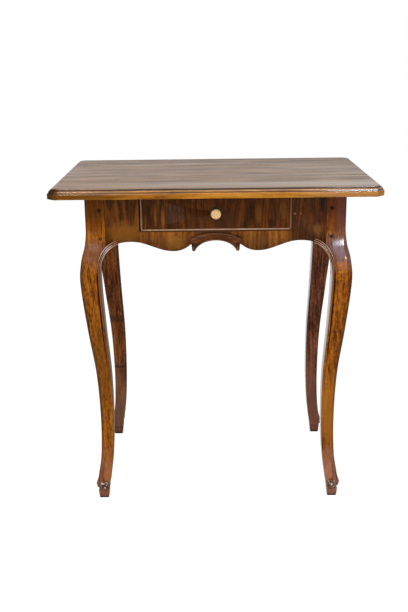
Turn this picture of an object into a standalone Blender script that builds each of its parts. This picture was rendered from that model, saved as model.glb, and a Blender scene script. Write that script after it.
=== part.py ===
"""Walnut side table: moulded top, four cabriole legs, scalloped aprons and one dovetailed drawer.

Lengths are in metres. X runs along the front, Y from the front to the back, Z is up.
The origin is on the floor, under the middle of the table top.
"""

import math

import bmesh
import bpy
from mathutils import Matrix, Vector

# Overall sizes
TABLE_HEIGHT = 0.760
TOP_LENGTH = 0.7256
TOP_DEPTH = 0.5148
TOP_THICKNESS = 0.0215
END_OVERHANG = 0.0736
FRONT_OVERHANG = 0.0579

# Clearances
SEAT_GAP = 0.0003
SLIDE_GAP = 0.0006

# Table top and its moulded edge
CORNER_CLIP = 0.0165
MIDDLE_BOARD_WIDTH = 0.168
UPPER_FILLET = 0.0018
OVOLO_RADIUS = 0.0055
LOWER_FILLET = 0.0010
NOSE_RADIUS = 0.0022
MOULDING_STEP = 0.0007
LOWER_ARRIS = 0.0010

# Leg template: heights, how far the outer faces are set in from the post, and the square's side
POST_SIDE = 0.0439
POST_STRAIGHT = 0.0785
BROW_BELOW_TOP = 0.1435
BROW_SET_IN = -0.0115
BROW_SIDE = 0.0440
KNEE_BELOW_TOP = 0.1935
KNEE_SET_IN = -0.0172
KNEE_SIDE = 0.0463
CALF_SET_IN = -0.0068
CALF_SIDE = 0.0410
SHIN_SET_IN = 0.0071
SHIN_SIDE = 0.0345
ANKLE_HEIGHT = 0.195
ANKLE_SET_IN = 0.0117
ANKLE_SIDE = 0.0307
INSTEP_HEIGHT = 0.105
INSTEP_SET_IN = 0.0089
INSTEP_SIDE = 0.0291
TOE_HEIGHT = 0.045
TOE_SET_IN = 0.0016
TOE_SIDE = 0.0288
NECK_SET_IN = 0.0005
NECK_SIDE = 0.0262
NECK_ABOVE_BLOCK = 0.0015
POST_CHAMFER = 0.0030
KNEE_CHAMFER = 0.0125
ANKLE_CHAMFER = 0.0085
INNER_CHAMFER = 0.0025
CORNER_FULLNESS = 0.36
RIDGE_FROM_EDGE = 0.0112
RIDGE_FULLNESS = 0.80

# Volutes carved on the two show faces of the toe, and the block under them
BLOCK_HEIGHT = 0.020
BLOCK_FLOOR_SIDE = 0.0217
BLOCK_TOP_SIDE = 0.0256
BLOCK_CENTRE_SET_IN = 0.0134
BLOCK_CHAMFER = 0.0020
VOLUTE_RADIUS = 0.0105
VOLUTE_CENTRE_SET_IN = 0.0154
VOLUTE_PROUD = 0.0053
VOLUTE_ABOVE_BLOCK = 0.0020
VOLUTE_ROOT = 0.0100
VOLUTE_RIM = 0.0028
VOLUTE_EYE_RADIUS = 0.0030
VOLUTE_HOLLOW = 0.0016
VOLUTE_DOME = 0.0034
VOLUTE_ARRIS = 0.0010

# Aprons
APRON_THICKNESS = 0.020
CREST_BELOW_TOP = 0.105
CREST_FROM_POST = 0.0573
ARCH_RISE = 0.0715
ARCH_FULLNESS = 2.4
LOBE_DROP = 0.0222
LOBE_FROM_MIDDLE = 0.094
LOBE_RADIUS = 0.056
SIDE_LOBE_FROM_MIDDLE = 0.042
SIDE_LOBE_DROP = 0.0180
SIDE_MIDDLE_RISE = 0.0080

# Carved arch in the middle of the front rail
CARVING_THICKNESS = 0.0045
CARVING_HALF_SPAN = 0.0478
CARVING_RISE = 0.0312
CARVING_SPRING_BELOW_TOP = 0.1339
CARVING_BAND_HEIGHT = 0.0172
CARVING_BAND_HALF_SPAN = 0.082
HOOK_RADIUS = 0.0042
HOOK_LENGTH = 0.0110
SCROLL_EYE_RADIUS = 0.0062
CARVING_BEVEL = 0.0012
RAIL_BEHIND_CARVING = 0.0050

# Mortise and tenon joints and their pegs
TENON_THICKNESS = 0.008
TENON_LENGTH = 0.025
TENON_BELOW_TOP = 0.018
TENON_HEIGHT = 0.092
RAIL_TENON_LENGTH = 0.020
RAIL_TENON_SHOULDER = 0.004
PEG_RADIUS = 0.0024
PEG_LENGTH = 0.0255
PEG_RECESS = 0.0005
PEG_FROM_SHOULDER = 0.012
UPPER_PEG_BELOW_TOP = 0.0335
LOWER_PEG_BELOW_TOP = 0.0975

# Drawer opening and drawer
STILE_WIDTH = 0.0758
OPENING_HEIGHT = 0.0805
DRAWER_SIDE_PLAY = 0.0025
DRAWER_TOP_PLAY = 0.0030
DRAWER_OFF_CENTRE = 0.0010
BEHIND_DRAWER = 0.0383
DRAWER_FRONT_THICKNESS = 0.020
DRAWER_SIDE_THICKNESS = 0.010
DRAWER_SIDE_BELOW_TOP = 0.0185
DRAWER_BACK_THICKNESS = 0.010
DRAWER_BACK_LOWERED = 0.004
BOTTOM_THICKNESS = 0.006
BOTTOM_RAISED = 0.0070
GROOVE_DEPTH = 0.005
DOVETAIL_LENGTH = 0.013
DOVETAIL_COUNT = 3
TAIL_ROOT_SHARE = 0.60
TAIL_TIP_SHARE = 0.78
SOCKET_MOUTH = 4

# Cock beads
BEAD_THICKNESS = 0.003
BEAD_DEPTH = 0.006
BEAD_PROUD = 0.0015
BEAD_ROUND = 0.0011

# Knob
KNOB_RADIUS = 0.0112
KNOB_NECK_RADIUS = 0.0048
KNOB_PROJECTION = 0.0184
BACKPLATE_RADIUS = 0.0135
BACKPLATE_THICKNESS = 0.0020
SCREW_RADIUS = 0.0020
SCREW_IN_KNOB = 0.0110
SCREW_HEAD_RADIUS = 0.0045
SCREW_HEAD_THICKNESS = 0.0024

# Turned profiles: share of the largest radius, share of the height
KNOB_BELLY = ((0.62, 0.52), (0.90, 0.62), (1.00, 0.76), (0.96, 0.88), (0.80, 0.96), (0.55, 1.00),
              (0.28, 0.99), (0.14, 0.95), (0.00, 0.94))
KNOB_FOOT = ((1.50, 0.00), (1.10, 0.17), (1.00, 0.36))
BACKPLATE_RIM = ((1.00, 0.00), (1.00, 0.40), (0.88, 0.90), (0.70, 1.00))
SCREW_HEAD_TOP = 0.7

# Runners, guides, kickers, stops and glue blocks
RUNNER_UNDER_DRAWER = 0.025
RUNNER_OUTSIDE_DRAWER = 0.022
RUNNER_THICKNESS = 0.018
GUIDE_HEIGHT = 0.018
KICKER_UNDER_SIDE = 0.017
KICKER_OUTSIDE_DRAWER = 0.012
KICKER_SET_BACK = 0.002
KICKER_CLEARANCE = 0.001
STOP_LENGTH = 0.012
STOP_WIDTH = 0.016
STOP_HEIGHT = 0.016
GLUE_BLOCK_SIDE = 0.018
GLUE_BLOCK_LENGTH = 0.050
GLUE_BLOCK_FROM_MIDDLE = 0.075
BLOCK_FROM_KICKER = 0.005

# Smoothness of the curves, in steps
LEG_STEPS = 22
BROW_STEPS = 3
ARCH_STEPS = 8
WAVE_STEPS = 9
FRONT_WAVE_STEPS = 27
LOBE_STEPS = 6
CARVING_STEPS = 12
BAND_STEPS = 6
ROUND_STEPS = 6
NOSE_STEPS = 3
TURNED_SIDES = 24
PEG_SIDES = 10
VOLUTE_SIDES = 20
SHARP_FROM_DEGREES = 35.0

# Places worked out from the sizes above
UNDERSIDE = TABLE_HEIGHT - TOP_THICKNESS
FRAME_TOP = UNDERSIDE - SEAT_GAP
POST_FACE_X = TOP_LENGTH / 2 - END_OVERHANG
POST_FACE_Y = TOP_DEPTH / 2 - FRONT_OVERHANG
FRONT_SPAN = 2 * (POST_FACE_X - POST_SIDE)
SIDE_SPAN = 2 * (POST_FACE_Y - POST_SIDE)
CREST_Z = UNDERSIDE - CREST_BELOW_TOP
ARCH_FOOT_Z = CREST_Z - ARCH_RISE
LOBE_Z = CREST_Z - LOBE_DROP
RAIL_TOP = UNDERSIDE - OPENING_HEIGHT
OPENING_HALF = FRONT_SPAN / 2 - STILE_WIDTH
TENON_TOP_Z = UNDERSIDE - TENON_BELOW_TOP
TENON_LOW_Z = TENON_TOP_Z - TENON_HEIGHT
PEG_HEIGHTS = (UNDERSIDE - UPPER_PEG_BELOW_TOP, UNDERSIDE - LOWER_PEG_BELOW_TOP)
DRAWER_HALF = OPENING_HALF - DRAWER_SIDE_PLAY
DRAWER_LOW_Z = RAIL_TOP + SLIDE_GAP
DRAWER_TOP_Z = UNDERSIDE - DRAWER_TOP_PLAY
DRAWER_SIDE_TOP_Z = UNDERSIDE - DRAWER_SIDE_BELOW_TOP
DRAWER_MIDDLE_Z = (DRAWER_LOW_Z + DRAWER_TOP_Z) / 2
RAIL_BACK_Y = -POST_FACE_Y + APRON_THICKNESS
BACK_APRON_Y = POST_FACE_Y - APRON_THICKNESS
DRAWER_LENGTH = BACK_APRON_Y - BEHIND_DRAWER + POST_FACE_Y

# Places in the drawer's own frame: origin at the middle of its face, Y running back
DRAWER_HALF_HEIGHT = (DRAWER_TOP_Z - DRAWER_LOW_Z) / 2
SIDE_INNER = DRAWER_HALF - DRAWER_SIDE_THICKNESS
SIDE_TOP = DRAWER_SIDE_TOP_Z - DRAWER_MIDDLE_Z
GROOVE_LOW = BOTTOM_RAISED - DRAWER_HALF_HEIGHT
GROOVE_HIGH = GROOVE_LOW + BOTTOM_THICKNESS + 2 * SEAT_GAP


# Scene, materials and objects

def clear_scene():
    """Remove every object that the file starts with."""
    for existing in list(bpy.data.objects):
        bpy.data.objects.remove(existing, do_unlink=True)


def finish(name, colour, roughness, metallic=0.0):
    """A plain material with a colour, a roughness and a metallic value."""
    material = bpy.data.materials.new(name)
    material.use_nodes = True
    shader = material.node_tree.nodes["Principled BSDF"]
    shader.inputs["Base Color"].default_value = (*colour, 1.0)
    shader.inputs["Roughness"].default_value = roughness
    shader.inputs["Metallic"].default_value = metallic
    return material


def anchor(name, place):
    """An empty that pieces hang from."""
    empty = bpy.data.objects.new(name, None)
    empty.location = place
    bpy.context.scene.collection.objects.link(empty)
    return empty


def mesh_from(name, shape):
    """Turn a bmesh into a mesh and free the bmesh."""
    bmesh.ops.recalc_face_normals(shape, faces=shape.faces)
    mesh = bpy.data.meshes.new(name)
    shape.to_mesh(mesh)
    shape.free()
    return mesh


def place(name, mesh, material=None, parent=None, location=(0.0, 0.0, 0.0), turn=0.0):
    """Put a mesh in the scene as a named object, turned about Z."""
    piece = bpy.data.objects.new(name, mesh)
    piece.location = location
    piece.rotation_euler = (0.0, 0.0, turn)
    piece.parent = parent
    if material and not mesh.materials:
        mesh.materials.append(material)
    bpy.context.scene.collection.objects.link(piece)
    return piece


def smooth(mesh):
    """Shade a mesh smooth, with its true corners kept sharp."""
    mesh.shade_smooth()
    mesh.set_sharp_from_angle(angle=math.radians(SHARP_FROM_DEGREES))


def combined(mesh, tool_shape, operation):
    """The mesh after a Boolean with one tool shape, as a new mesh."""
    body = place("body", mesh)
    tool = place("tool", mesh_from("tool", tool_shape))
    step = body.modifiers.new("step", "BOOLEAN")
    step.operation = operation
    step.solver = "EXACT"
    step.object = tool
    bpy.context.view_layer.update()
    evaluated = body.evaluated_get(bpy.context.evaluated_depsgraph_get())
    result = bpy.data.meshes.new_from_object(evaluated)
    result.name = mesh.name
    bpy.data.objects.remove(body)
    bpy.data.objects.remove(tool)
    return result


# Basic shapes

def block(low, high):
    """A rectangular block between two corners."""
    shape = bmesh.new()
    bmesh.ops.create_cube(shape, size=1.0)
    size = Vector(high) - Vector(low)
    bmesh.ops.scale(shape, vec=size, verts=shape.verts)
    bmesh.ops.translate(shape, vec=(Vector(low) + Vector(high)) / 2, verts=shape.verts)
    return shape


def prism(outline, thickness, near=0.0):
    """An outline in X and Z, extruded along Y from near to near + thickness."""
    shape = bmesh.new()
    face = shape.faces.new([shape.verts.new((x, near, z)) for x, z in outline])
    grown = bmesh.ops.extrude_face_region(shape, geom=[face])
    moved = [item for item in grown["geom"] if isinstance(item, bmesh.types.BMVert)]
    bmesh.ops.translate(shape, vec=(0.0, thickness, 0.0), verts=moved)
    bmesh.ops.recalc_face_normals(shape, faces=shape.faces)
    return shape


def side_prism(outline, low_x, high_x):
    """An outline in Y and Z, extruded along X."""
    shape = bmesh.new()
    face = shape.faces.new([shape.verts.new((low_x, y, z)) for y, z in outline])
    grown = bmesh.ops.extrude_face_region(shape, geom=[face])
    moved = [item for item in grown["geom"] if isinstance(item, bmesh.types.BMVert)]
    bmesh.ops.translate(shape, vec=(high_x - low_x, 0.0, 0.0), verts=moved)
    bmesh.ops.recalc_face_normals(shape, faces=shape.faces)
    return shape


def rod(start, end, radius, sides):
    """A round rod between two points."""
    start, end = Vector(start), Vector(end)
    run = end - start
    turn = Vector((0.0, 0.0, 1.0)).rotation_difference(run).to_matrix().to_4x4()
    shape = bmesh.new()
    bmesh.ops.create_cone(shape, cap_ends=True, segments=sides, radius1=radius, radius2=radius,
                          depth=run.length, matrix=Matrix.Translation((start + end) / 2) @ turn)
    return shape


def loft(rings):
    """A closed solid through rings of points, each with as many points as the last."""
    shape = bmesh.new()
    loops = [[shape.verts.new(point) for point in ring] for ring in rings]
    count = len(loops[0])
    for lower, upper in zip(loops, loops[1:]):
        for k in range(count):
            after = (k + 1) % count
            shape.faces.new((lower[k], lower[after], upper[after], upper[k]))
    shape.faces.new(list(reversed(loops[0])))
    shape.faces.new(loops[-1])
    return shape


def turned(profile, sides):
    """A solid of revolution about Z from points of radius and height."""
    shape = bmesh.new()
    verts = [shape.verts.new((radius, 0.0, height)) for radius, height in profile]
    for first, second in zip(verts, verts[1:]):
        shape.edges.new((first, second))
    bmesh.ops.spin(shape, geom=shape.verts[:] + shape.edges[:], cent=(0.0, 0.0, 0.0),
                   axis=(0.0, 0.0, 1.0), angle=math.tau, steps=sides, use_merge=True)
    bmesh.ops.remove_doubles(shape, verts=shape.verts, dist=0.00001)
    return shape


def curve_through(knots, height):
    """Value at a height of a smooth curve through (height, value) knots, flat at its last knot."""
    count = len(knots)
    if height >= knots[-1][0]:
        return knots[-1][1]
    k = max(i for i in range(count - 1) if knots[i][0] <= height or i == 0)
    slopes = []
    for i in (k, k + 1):
        if i == count - 1:
            slopes.append(0.0)
        else:
            low, high = max(i - 1, 0), i + 1
            slopes.append((knots[high][1] - knots[low][1]) / (knots[high][0] - knots[low][0]))
    run = knots[k + 1][0] - knots[k][0]
    t = (height - knots[k][0]) / run
    start = knots[k][1] * (2 * t ** 3 - 3 * t ** 2 + 1) + run * slopes[0] * (t ** 3 - 2 * t ** 2 + t)
    end = knots[k + 1][1] * (3 * t ** 2 - 2 * t ** 3) + run * slopes[1] * (t ** 3 - t ** 2)
    return start + end


def spread(low, high, steps):
    """Evenly spaced values from low to high, both included."""
    return [low + (high - low) * k / steps for k in range(steps + 1)]


# Table top

def top_outline(inset, height):
    """The top's outline with clipped corners, set in by an amount, at a height."""
    half_x = TOP_LENGTH / 2 - inset
    half_y = TOP_DEPTH / 2 - inset
    clip = CORNER_CLIP - inset * (2 - math.sqrt(2))
    corners = []
    for side_x, side_y, first in ((1, -1, 0), (1, 1, 1), (-1, 1, 0), (-1, -1, 1)):
        pair = [(side_x * (half_x - clip), side_y * half_y), (side_x * half_x, side_y * (half_y - clip))]
        if first:
            pair.reverse()
        corners.extend(pair)
    return [(x, y, height) for x, y in corners]


def moulded_slab():
    """The whole top: arris, upright edge, nose, fillet, ovolo, fillet and flat."""
    nose_z = UNDERSIDE + TOP_THICKNESS - UPPER_FILLET - OVOLO_RADIUS - LOWER_FILLET - NOSE_RADIUS
    rings = [top_outline(LOWER_ARRIS, UNDERSIDE), top_outline(0.0, UNDERSIDE + LOWER_ARRIS)]
    for angle in spread(0.0, math.pi / 2, NOSE_STEPS):
        inset = NOSE_RADIUS * (1 - math.cos(angle))
        rings.append(top_outline(inset, nose_z + NOSE_RADIUS * math.sin(angle)))
    ovolo_z = nose_z + NOSE_RADIUS + LOWER_FILLET
    ovolo_inset = NOSE_RADIUS + MOULDING_STEP
    rings.append(top_outline(ovolo_inset, nose_z + NOSE_RADIUS))
    for angle in spread(0.0, math.pi / 2, ROUND_STEPS):
        inset = ovolo_inset + OVOLO_RADIUS * (1 - math.cos(angle))
        rings.append(top_outline(inset, ovolo_z + OVOLO_RADIUS * math.sin(angle)))
    flat_inset = ovolo_inset + OVOLO_RADIUS + MOULDING_STEP
    rings.append(top_outline(flat_inset, ovolo_z + OVOLO_RADIUS))
    rings.append(top_outline(flat_inset, TABLE_HEIGHT))
    return loft(rings)


def top_board(name, near, far, material, parent):
    """One board of the top, cut from the moulded slab between two joint lines."""
    shape = moulded_slab()
    for y, side in ((near, -1.0), (far, 1.0)):
        if abs(y) < TOP_DEPTH / 2:
            everything = shape.verts[:] + shape.edges[:] + shape.faces[:]
            cut = bmesh.ops.bisect_plane(shape, geom=everything, plane_co=(0.0, y, 0.0),
                                         plane_no=(0.0, side, 0.0), clear_outer=True)
            rim = [item for item in cut["geom_cut"] if isinstance(item, bmesh.types.BMEdge)]
            bmesh.ops.edgeloop_fill(shape, edges=rim)
    place(name, mesh_from(name, shape), material, parent)


def make_top(material, parent):
    """Front, middle and back boards."""
    joint = MIDDLE_BOARD_WIDTH / 2
    half_gap = SEAT_GAP / 2
    top_board("top_board_front", -TOP_DEPTH, -joint - half_gap, material, parent)
    top_board("top_board_middle", -joint + half_gap, joint - half_gap, material, parent)
    top_board("top_board_back", joint + half_gap, TOP_DEPTH, material, parent)


# Leg template, in the post's own corner frame: u and v run inwards from the two outer faces

def template_heights():
    """Heights of the template's knots, from the toe to the straight post."""
    knee = UNDERSIDE - KNEE_BELOW_TOP
    run = knee - ANKLE_HEIGHT
    return (TOE_HEIGHT, INSTEP_HEIGHT, ANKLE_HEIGHT, ANKLE_HEIGHT + run / 3,
            ANKLE_HEIGHT + run * 2 / 3, knee, UNDERSIDE - BROW_BELOW_TOP, UNDERSIDE - POST_STRAIGHT)


def set_in(height):
    """How far the outer faces lie inside the post's outer faces."""
    values = (TOE_SET_IN, INSTEP_SET_IN, ANKLE_SET_IN, SHIN_SET_IN, CALF_SET_IN, KNEE_SET_IN,
              BROW_SET_IN, 0.0)
    return curve_through(list(zip(template_heights(), values)), height)


def side_at(height):
    """Side of the square section."""
    values = (TOE_SIDE, INSTEP_SIDE, ANKLE_SIDE, SHIN_SIDE, CALF_SIDE, KNEE_SIDE, BROW_SIDE, POST_SIDE)
    return curve_through(list(zip(template_heights(), values)), height)


def chamfer_at(height):
    """Width taken off the outer corner."""
    heights = template_heights()
    knots = ((heights[0], ANKLE_CHAMFER), (heights[2], ANKLE_CHAMFER), (heights[5], KNEE_CHAMFER),
             (heights[7], POST_CHAMFER))
    return curve_through(knots, height)


def arch_half_width():
    """From the apron's crest to where the arch runs into the leg's inner face."""
    return CREST_FROM_POST + POST_SIDE - set_in(ARCH_FOOT_Z) - side_at(ARCH_FOOT_Z)


def arch_height(run):
    """Height of the knee arch at a distance from the crest towards the leg."""
    share = max(0.0, 1.0 - (run / arch_half_width()) ** ARCH_FULLNESS)
    return ARCH_FOOT_Z + ARCH_RISE * share ** (1 / ARCH_FULLNESS)


def arch_run(height):
    """Distance from the crest to the knee arch at a height."""
    share = max(0.0, 1.0 - ((height - ARCH_FOOT_Z) / ARCH_RISE) ** ARCH_FULLNESS)
    return arch_half_width() * share ** (1 / ARCH_FULLNESS)


def inner_face(height):
    """Where the leg's inner faces lie, from the post's outer faces."""
    if height <= ARCH_FOOT_Z:
        return set_in(height) + side_at(height)
    if height >= arch_height(CREST_FROM_POST):
        return POST_SIDE
    return POST_SIDE - (arch_run(height) - CREST_FROM_POST)


def flush_face(height):
    """Where the show faces lie at their inner edges: flush with the aprons above the knee arch."""
    shoulder = arch_height(CREST_FROM_POST)
    fall = min(1.0, max(0.0, (shoulder - height) / (shoulder - ARCH_FOOT_Z)))
    return set_in(height) * fall ** 2 * (3 - 2 * fall) if height < UNDERSIDE - POST_STRAIGHT else 0.0


def leg_ring(outer, inner, face, chamfer, height):
    """Section of the leg: a square whose outer corner is rounded off, its show faces at face inside.

    Where a show face stands proud of its inner edge, it keeps full up to a ridge and falls from there.
    """
    middle = outer + chamfer * CORNER_FULLNESS
    edge = INNER_CHAMFER
    ridge = inner - RIDGE_FROM_EDGE
    crown = face + (outer - face) * RIDGE_FULLNESS
    return [(outer, outer + chamfer, height), (middle, middle, height), (outer + chamfer, outer, height),
            (ridge, crown, height), (inner - edge, face, height), (inner, face + edge, height),
            (inner, inner - edge, height), (inner - edge, inner, height),
            (face + edge, inner, height), (face, inner - edge, height), (crown, ridge, height)]


def volute(swapped):
    """A domed volute with a hollow between its rim and its eye, standing out of one show face."""
    hollow_in, hollow_out = VOLUTE_EYE_RADIUS + VOLUTE_ARRIS, VOLUTE_RADIUS - VOLUTE_RIM
    profile = [(0.0, 0.0), (VOLUTE_EYE_RADIUS, 0.0), (hollow_in, VOLUTE_HOLLOW),
               (hollow_out - VOLUTE_ARRIS, VOLUTE_HOLLOW + VOLUTE_DOME * 0.3), (hollow_out, VOLUTE_DOME * 0.3),
               (VOLUTE_RADIUS - VOLUTE_ARRIS, VOLUTE_DOME * 0.6), (VOLUTE_RADIUS, VOLUTE_DOME),
               (VOLUTE_RADIUS, VOLUTE_PROUD + VOLUTE_ROOT), (0.0, VOLUTE_PROUD + VOLUTE_ROOT)]
    shape = turned(profile, VOLUTE_SIDES)
    bmesh.ops.rotate(shape, verts=shape.verts, matrix=Matrix.Rotation(-math.pi / 2, 3, "X"))
    centre_z = BLOCK_HEIGHT + VOLUTE_ABOVE_BLOCK + VOLUTE_RADIUS
    bmesh.ops.translate(shape, verts=shape.verts, vec=(VOLUTE_CENTRE_SET_IN, -VOLUTE_PROUD, centre_z))
    if swapped:
        for vert in shape.verts:
            vert.co.x, vert.co.y = vert.co.y, vert.co.x
    bmesh.ops.recalc_face_normals(shape, faces=shape.faces)
    return shape


def leg_shape():
    """Loft from the floor to the top of the post."""
    def block_ring(side, height):
        low = BLOCK_CENTRE_SET_IN - side / 2
        return leg_ring(low, low + side, low, BLOCK_CHAMFER, height)

    neck = BLOCK_HEIGHT + NECK_ABOVE_BLOCK
    rings = [block_ring(BLOCK_FLOOR_SIDE, 0.0), block_ring(BLOCK_TOP_SIDE, BLOCK_HEIGHT)]
    rings.append(leg_ring(NECK_SET_IN, NECK_SET_IN + NECK_SIDE, NECK_SET_IN, ANKLE_CHAMFER, neck))
    heights = spread(TOE_HEIGHT, ARCH_FOOT_Z, LEG_STEPS)
    shoulder = arch_height(CREST_FROM_POST)
    heights += spread(ARCH_FOOT_Z, shoulder, ARCH_STEPS)[1:]
    heights += spread(shoulder, UNDERSIDE - POST_STRAIGHT, BROW_STEPS)[1:] + [FRAME_TOP]
    for height in heights:
        face = set_in(height) if height <= ARCH_FOOT_Z else flush_face(height)
        rings.append(leg_ring(set_in(height), inner_face(height), face, chamfer_at(height), height))
    return loft(rings)


def leg_mesh(name, mirrored):
    """One leg with its volutes, its two mortises and its four peg holes."""
    mesh = mesh_from(name, leg_shape())
    for swapped in (False, True):
        mesh = combined(mesh, volute(swapped), "UNION")
    slot = (APRON_THICKNESS - TENON_THICKNESS) / 2 - SEAT_GAP
    slot_end = slot + TENON_THICKNESS + 2 * SEAT_GAP
    deep = POST_SIDE - TENON_LENGTH - SEAT_GAP
    low, high = TENON_LOW_Z - SEAT_GAP, TENON_TOP_Z + SEAT_GAP
    mesh = combined(mesh, block((deep, slot, low), (2 * POST_SIDE, slot_end, high)), "DIFFERENCE")
    mesh = combined(mesh, block((slot, deep, low), (slot_end, 2 * POST_SIDE, high)), "DIFFERENCE")
    peg_u = POST_SIDE - PEG_FROM_SHOULDER
    hole_end = PEG_RECESS + PEG_LENGTH + SEAT_GAP
    for peg_z in PEG_HEIGHTS:
        for start, end in (((peg_u, -POST_SIDE, peg_z), (peg_u, hole_end, peg_z)),
                           ((-POST_SIDE, peg_u, peg_z), (hole_end, peg_u, peg_z))):
            hole = rod(start, end, PEG_RADIUS + SEAT_GAP, PEG_SIDES)
            mesh = combined(mesh, hole, "DIFFERENCE")
    if mirrored:
        mesh.transform(Matrix.Scale(-1.0, 4, (1.0, 0.0, 0.0)))
        mesh.flip_normals()
    smooth(mesh)
    return mesh


def make_legs(material, parent):
    """Four legs, each placed at the outer corner of its post."""
    plain = leg_mesh("leg", False)
    mirrored = leg_mesh("leg_mirrored", True)
    x, y = POST_FACE_X, POST_FACE_Y
    place("leg_front_left", plain, material, parent, (-x, -y, 0.0))
    place("leg_back_right", plain, material, parent, (x, y, 0.0), math.pi)
    place("leg_front_right", mirrored, material, parent, (x, -y, 0.0))
    place("leg_back_left", mirrored, material, parent, (-x, y, 0.0), math.pi)


# Apron outlines, seen from outside: x along the board from its middle, z up

def arch_points(crest_x, end_x):
    """Lower edge from the crest out to the board's end, along the knee arch."""
    return [(x, arch_height(x - crest_x)) for x in spread(crest_x, end_x, ARCH_STEPS)]


def wave(start, end, steps):
    """A smooth wave between two level points of the lower edge."""
    points = []
    for share in spread(0.0, 1.0, steps):
        rise = (1 - math.cos(math.pi * share)) / 2
        points.append((start[0] + (end[0] - start[0]) * share, start[1] + (end[1] - start[1]) * rise))
    return points


def with_tenons(mesh, span, low, high):
    """Add a tenon at each end that goes into a post, with its peg holes."""
    cheek = (APRON_THICKNESS - TENON_THICKNESS) / 2
    for side in (-1, 1):
        if low * side > 0 or high * side > 0:
            root = side * (span / 2 - 2 * TENON_THICKNESS)
            tip = side * (span / 2 + TENON_LENGTH)
            tenon = block((min(root, tip), cheek, TENON_LOW_Z),
                          (max(root, tip), cheek + TENON_THICKNESS, TENON_TOP_Z))
            mesh = combined(mesh, tenon, "UNION")
            peg_x = side * (span / 2 + PEG_FROM_SHOULDER)
            for peg_z in PEG_HEIGHTS:
                hole = rod((peg_x, 0.0, peg_z), (peg_x, APRON_THICKNESS, peg_z),
                           PEG_RADIUS + SEAT_GAP, PEG_SIDES)
                mesh = combined(mesh, hole, "DIFFERENCE")
    return mesh


def apron_mesh(name, span, half):
    """A whole apron between two posts, from the right half of its lower edge."""
    left = [(-x, z) for x, z in reversed(half) if x > 0]
    end = span / 2 - SEAT_GAP
    outline = [(end, FRAME_TOP), (-end, FRAME_TOP)] + left + half
    mesh = mesh_from(name, prism(outline, APRON_THICKNESS))
    return with_tenons(mesh, span, -1, 1)


def make_side_and_back_aprons(material, parent):
    """Side aprons with a gentle double wave, and a plain back apron."""
    crest = SIDE_SPAN / 2 - CREST_FROM_POST
    lobe = (SIDE_LOBE_FROM_MIDDLE, CREST_Z - SIDE_LOBE_DROP)
    middle = (0.0, lobe[1] + SIDE_MIDDLE_RISE)
    edge = wave(middle, lobe, LOBE_STEPS) + wave(lobe, (crest, CREST_Z), WAVE_STEPS)[1:]
    edge += arch_points(crest, SIDE_SPAN / 2 - SEAT_GAP)[1:]
    side = apron_mesh("side_apron", SIDE_SPAN, edge)
    place("apron_left", side, material, parent, (-POST_FACE_X, 0.0, 0.0), -math.pi / 2)
    place("apron_right", side, material, parent, (POST_FACE_X, 0.0, 0.0), math.pi / 2)
    crest = FRONT_SPAN / 2 - CREST_FROM_POST
    back = apron_mesh("back_apron", FRONT_SPAN, arch_points(crest, FRONT_SPAN / 2 - SEAT_GAP))
    place("apron_back", back, material, parent, (0.0, POST_FACE_Y, 0.0), math.pi)


# Front: two stiles, the scalloped rail and its carving

def front_wave():
    """Lower edge of the front from the lobe to the crest."""
    crest = FRONT_SPAN / 2 - CREST_FROM_POST
    return wave((LOBE_FROM_MIDDLE, LOBE_Z), (crest, CREST_Z), FRONT_WAVE_STEPS)


def rail_tenon_heights():
    """Lower and upper height of the tenon between rail and stile."""
    low = min(z for x, z in front_wave() if x > OPENING_HALF) + RAIL_TENON_SHOULDER
    return low, RAIL_TOP - RAIL_TENON_SHOULDER


def edge_height(points, x):
    """Height of a stretch of lower edge at x."""
    for (x0, z0), (x1, z1) in zip(points, points[1:]):
        if x0 <= x <= x1:
            return z0 + (z1 - z0) * (x - x0) / (x1 - x0)
    return points[-1][1]


def make_stiles(material, parent):
    """Upright pieces beside the drawer, tenoned to the posts and mortised for the rail."""
    crest = FRONT_SPAN / 2 - CREST_FROM_POST
    curve = front_wave()
    inner = OPENING_HALF
    lower = [(inner, edge_height(curve, inner))] + [(x, z) for x, z in curve if x > inner]
    lower += arch_points(crest, FRONT_SPAN / 2 - SEAT_GAP)[1:]
    outline = [(lower[-1][0], FRAME_TOP), (inner, FRAME_TOP)] + lower
    cheek = (APRON_THICKNESS - TENON_THICKNESS) / 2 - SEAT_GAP
    low, high = rail_tenon_heights()
    for name, side in (("front_stile_left", -1), ("front_stile_right", 1)):
        mesh = mesh_from(name, prism([(side * x, z) for x, z in outline], APRON_THICKNESS))
        mesh = with_tenons(mesh, FRONT_SPAN, min(side, 0), max(side, 0))
        ends = side * (inner - RAIL_TENON_LENGTH), side * (inner + RAIL_TENON_LENGTH + SEAT_GAP)
        near, far = sorted(ends)
        mortise = block((near, cheek, low - SEAT_GAP),
                        (far, cheek + TENON_THICKNESS + 2 * SEAT_GAP, high + SEAT_GAP))
        mesh = combined(mesh, mortise, "DIFFERENCE")
        place(name, mesh, material, parent, (0.0, -POST_FACE_Y, 0.0))


def carving_arch(x, extra=0.0):
    """Height of the arch under the carving, or of one drawn outside it."""
    share = max(0.0, 1.0 - (x / (CARVING_HALF_SPAN + extra)) ** 2)
    return UNDERSIDE - CARVING_SPRING_BELOW_TOP + (CARVING_RISE + extra) * math.sqrt(share)


def lobe_height(x):
    """Lower edge of the rail beside the carving, an arc of the lobe's radius."""
    return LOBE_Z + LOBE_RADIUS - math.sqrt(LOBE_RADIUS ** 2 - (LOBE_FROM_MIDDLE - x) ** 2)


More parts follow.
